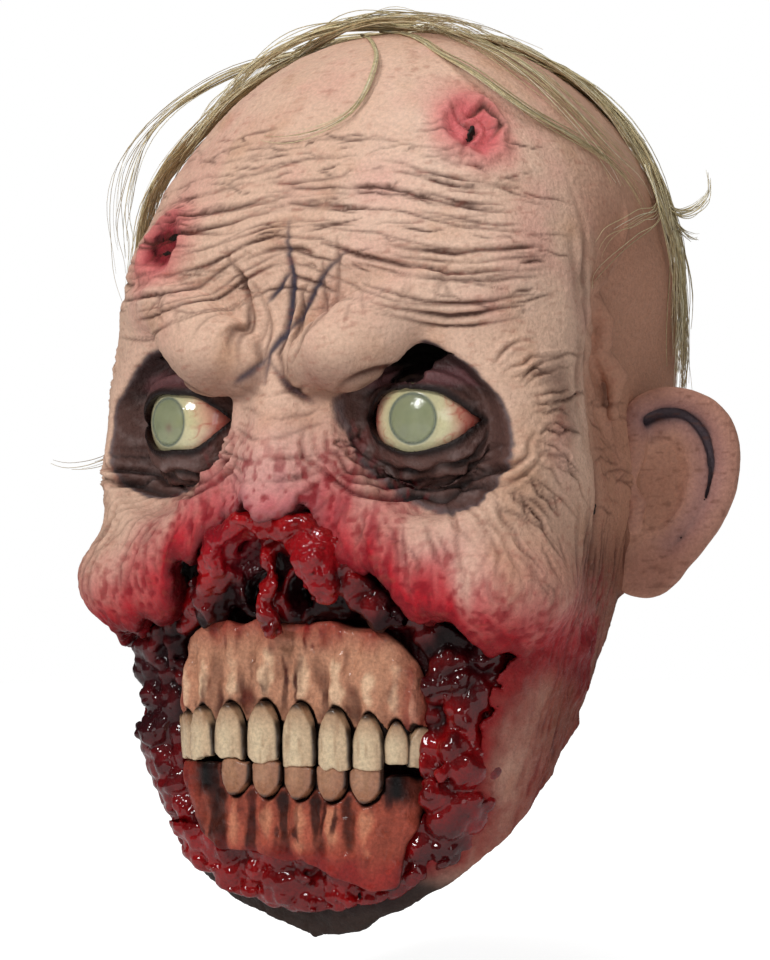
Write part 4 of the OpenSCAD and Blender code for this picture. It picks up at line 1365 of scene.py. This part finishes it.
def build_hair():
    for word, tufts in HAIR.items():
        hairs = []
        for guide, count, *rest in tufts:
            hairs += strands(guide, max(4, int(1.35 * count / COARSE)), *rest)
        hair_piece(word + "_hair_strands", word + "_hair", hairs)


# ---------------------------------------------------------------- materials

def new_material(name):
    """A fresh node material: itself, its nodes, its links and its Principled shader."""
    mat = bpy.data.materials.new(name)
    mat.use_nodes = True
    tree = mat.node_tree
    return mat, tree.nodes, tree.links, tree.nodes["Principled BSDF"]


def add_node(nodes, kind, values=None, operation=None):
    """A new shader node, with constants set on its sockets."""
    node = nodes.new("ShaderNode" + kind)
    if operation:
        node.operation = operation
    for socket, value in (values or {}).items():
        node.inputs[socket].default_value = value
    return node


def surface(name, dry, wet, bump_size, bump_amount, grain=0.06, shine=0.5, coat=0.0):
    """Paint and wetness come from the mesh. Procedural noise adds the fine grain."""
    mat, nodes, links, bsdf = new_material(name)
    place = nodes.new("ShaderNodeTexCoord").outputs["Object"]
    paint, damp = nodes.new("ShaderNodeAttribute"), nodes.new("ShaderNodeAttribute")
    paint.attribute_name, damp.attribute_name = "paint", "wet"

    def grainy(size, detail):
        tex = add_node(nodes, "TexNoise", {"Scale": 1 / (size * MM), "Detail": detail, "Roughness": 0.6})
        links.new(place, tex.inputs["Vector"])
        return tex.outputs["Fac"]

    def ranged(value, low, high):
        node = add_node(nodes, "MapRange", {"From Min": 0.3, "From Max": 0.7, "To Min": low, "To Max": high})
        links.new(value, node.inputs["Value"])
        return node.outputs["Result"]

    def relief(height, strength, distance, socket):
        node = add_node(nodes, "Bump", {"Strength": strength, "Distance": distance * MM})
        links.new(height, node.inputs["Height"])
        links.new(node.outputs["Normal"], bsdf.inputs[socket])

    tint = nodes.new("ShaderNodeMix")
    tint.data_type, tint.blend_type = "RGBA", "MULTIPLY"
    tint.inputs["Factor"].default_value = 1.0
    links.new(paint.outputs["Color"], tint.inputs[6])
    links.new(ranged(grainy(1.1, 3), 1 - 4 * grain, 1 + 4 * grain), tint.inputs[7])
    links.new(tint.outputs[2], bsdf.inputs["Base Color"])

    rough = add_node(nodes, "MapRange", {"To Min": dry, "To Max": wet})
    links.new(damp.outputs["Fac"], rough.inputs["Value"])
    vary = add_node(nodes, "Math", operation="MULTIPLY")
    links.new(rough.outputs["Result"], vary.inputs[0])
    links.new(ranged(grainy(3.0, 2), 0.7, 1.3), vary.inputs[1])
    links.new(vary.outputs[0], bsdf.inputs["Roughness"])

    relief(grainy(bump_size, 4), bump_amount, bump_size * 0.6, "Normal")
    bsdf.inputs["Specular IOR Level"].default_value = shine
    if coat:
        weight = add_node(nodes, "Math", {1: coat}, "MULTIPLY")
        links.new(damp.outputs["Fac"], weight.inputs[0])
        links.new(weight.outputs[0], bsdf.inputs["Coat Weight"])
        bsdf.inputs["Coat Roughness"].default_value = 0.06
        relief(grainy(2.8, 1), 0.35, 0.8, "Coat Normal")
    return mat


def clear_dome(name):
    """A mostly clear cornea with a patchy veil."""
    mat, nodes, links, bsdf = new_material(name)
    cloud = add_node(nodes, "TexNoise", {"Scale": 260.0, "Detail": 3.0})
    links.new(nodes.new("ShaderNodeTexCoord").outputs["Object"], cloud.inputs["Vector"])
    veil = add_node(nodes, "MapRange", {"To Min": 0.06, "To Max": 0.2})
    links.new(cloud.outputs["Fac"], veil.inputs["Value"])
    links.new(veil.outputs["Result"], bsdf.inputs["Alpha"])
    bsdf.inputs["Base Color"].default_value = (*shade(206, 208, 180), 1)
    bsdf.inputs["Roughness"].default_value = 0.3
    return mat


def dress():
    """Puts a material on every piece by its slot."""
    kinds = {
        "latex_skin": surface("painted latex", 0.62, 0.3, 1.6, 0.7, 0.03, 0.22),
        "latex_ear": surface("painted latex ear", 0.62, 0.3, 1.6, 0.6, 0.035, 0.25),
        "raw_flesh": surface("wet gore", 0.45, 0.34, 1.6, 0.6, 0.06, 0.08, 0.85),
        "bare_gum": surface("glazed bone", 0.5, 0.4, 1.3, 0.6, 0.06, 0.12, 0.3),
        "tooth_enamel": surface("stained tooth", 0.42, 0.3, 1.4, 0.35, 0.05, 0.5, 0.25),
        "eye_white": surface("glazed eye", 0.3, 0.09, 2.5, 0.08, 0.02, 0.5, 0.6),
        "synthetic_hair": surface("straw hair", 0.55, 0.5, 1.0, 0.1, 0.06, 0.35),
        "clouded_iris": clear_dome("clear cornea"),
    }
    for obj in bpy.context.scene.objects:
        name = obj.get("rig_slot")
        if name in kinds and obj.type == "MESH":
            obj.data.materials.clear()
            obj.data.materials.append(kinds[name])


# ---------------------------------------------------------------- stage

def link_object(name, data):
    obj = bpy.data.objects.new(name, data)
    bpy.context.scene.collection.objects.link(obj)
    return obj


def area_light(name, place, target, size, power):
    light = bpy.data.lights.new(name, "AREA")
    light.shape, light.size, light.size_y = "RECTANGLE", size[0], size[1]
    light.energy = power
    obj = link_object(name, light)
    obj.location = place
    obj.rotation_euler = (Vector(target) - Vector(place)).to_track_quat("-Z", "Y").to_euler()


def ray_switch(nodes, links, kind, other, seen):
    """A value that is seen for one kind of ray, and other for the rest."""
    level = add_node(nodes, "MapRange", {"To Min": other, "To Max": seen})
    links.new(nodes.new("ShaderNodeLightPath").outputs[f"Is {kind} Ray"], level.inputs["Value"])
    return level.outputs["Result"]


def build_floor():
    mesh = bpy.data.meshes.new("floor")
    low, reach, sides = CAD_BOX[0][2] - 0.03, 1.4, 96
    turns = np.linspace(0, 2 * math.pi, sides, endpoint=False)
    mesh.from_pydata([(reach * math.cos(a), reach * math.sin(a), low) for a in turns], [], [tuple(range(sides))])
    floor = link_object("floor", mesh)
    mat, nodes, links, bsdf = new_material("pale paper")
    bsdf.inputs["Base Color"].default_value = (0.9, 0.9, 0.9, 1)
    bsdf.inputs["Roughness"].default_value = 0.9
    bsdf.inputs["Emission Color"].default_value = (1, 1, 1, 1)
    links.new(ray_switch(nodes, links, "Camera", 0.06, 0.78), bsdf.inputs["Emission Strength"])
    floor.data.materials.append(mat)


def build_light():
    """White to the camera, soft all round, and dim in reflections, with three area lights."""
    world = bpy.data.worlds.new("studio")
    bpy.context.scene.world = world
    world.use_nodes = True
    nodes, links = world.node_tree.nodes, world.node_tree.links
    nodes["Background"].inputs["Color"].default_value = (1, 1, 1, 1)
    both = add_node(nodes, "Math", operation="MULTIPLY")
    links.new(ray_switch(nodes, links, "Camera", 0.24, 1.0), both.inputs[0])
    links.new(ray_switch(nodes, links, "Glossy", 1.0, 0.15), both.inputs[1])
    links.new(both.outputs[0], nodes["Background"].inputs["Strength"])
    area_light("key", (-0.12, -1.22, 0.82), (0, 0, 0.1), (0.28, 0.28), 8.6)
    area_light("fill", (0.95, -0.75, 0.25), (0, 0, 0.1), (0.4, 0.5), 1.2)
    area_light("top", (0.1, -0.2, 1.1), (0, 0, 0.15), (0.5, 0.5), 3.4)
    bpy.context.scene.view_settings.view_transform = "Standard"


def build_camera():
    """The photograph's view: level, from 30 degrees to the mask's left."""
    cam = bpy.data.cameras.new("camera")
    cam.lens, cam.sensor_width, cam.clip_start, cam.shift_x = 97.9, 36.0, 0.02, -0.030
    obj = link_object("camera", cam)
    turn = math.radians(30)
    out = Vector((math.sin(turn), -math.cos(turn), 0))
    obj.location = Vector((0, 0, 0.0926)) + 0.87 * out
    obj.rotation_euler = (-out).to_track_quat("-Z", "Y").to_euler()
    bpy.context.scene.camera = obj


build_head()
build_eyes()
build_teeth()
build_gums()
build_flesh()
build_ears()
build_hair()
dress()
build_floor()
build_light()
build_camera()
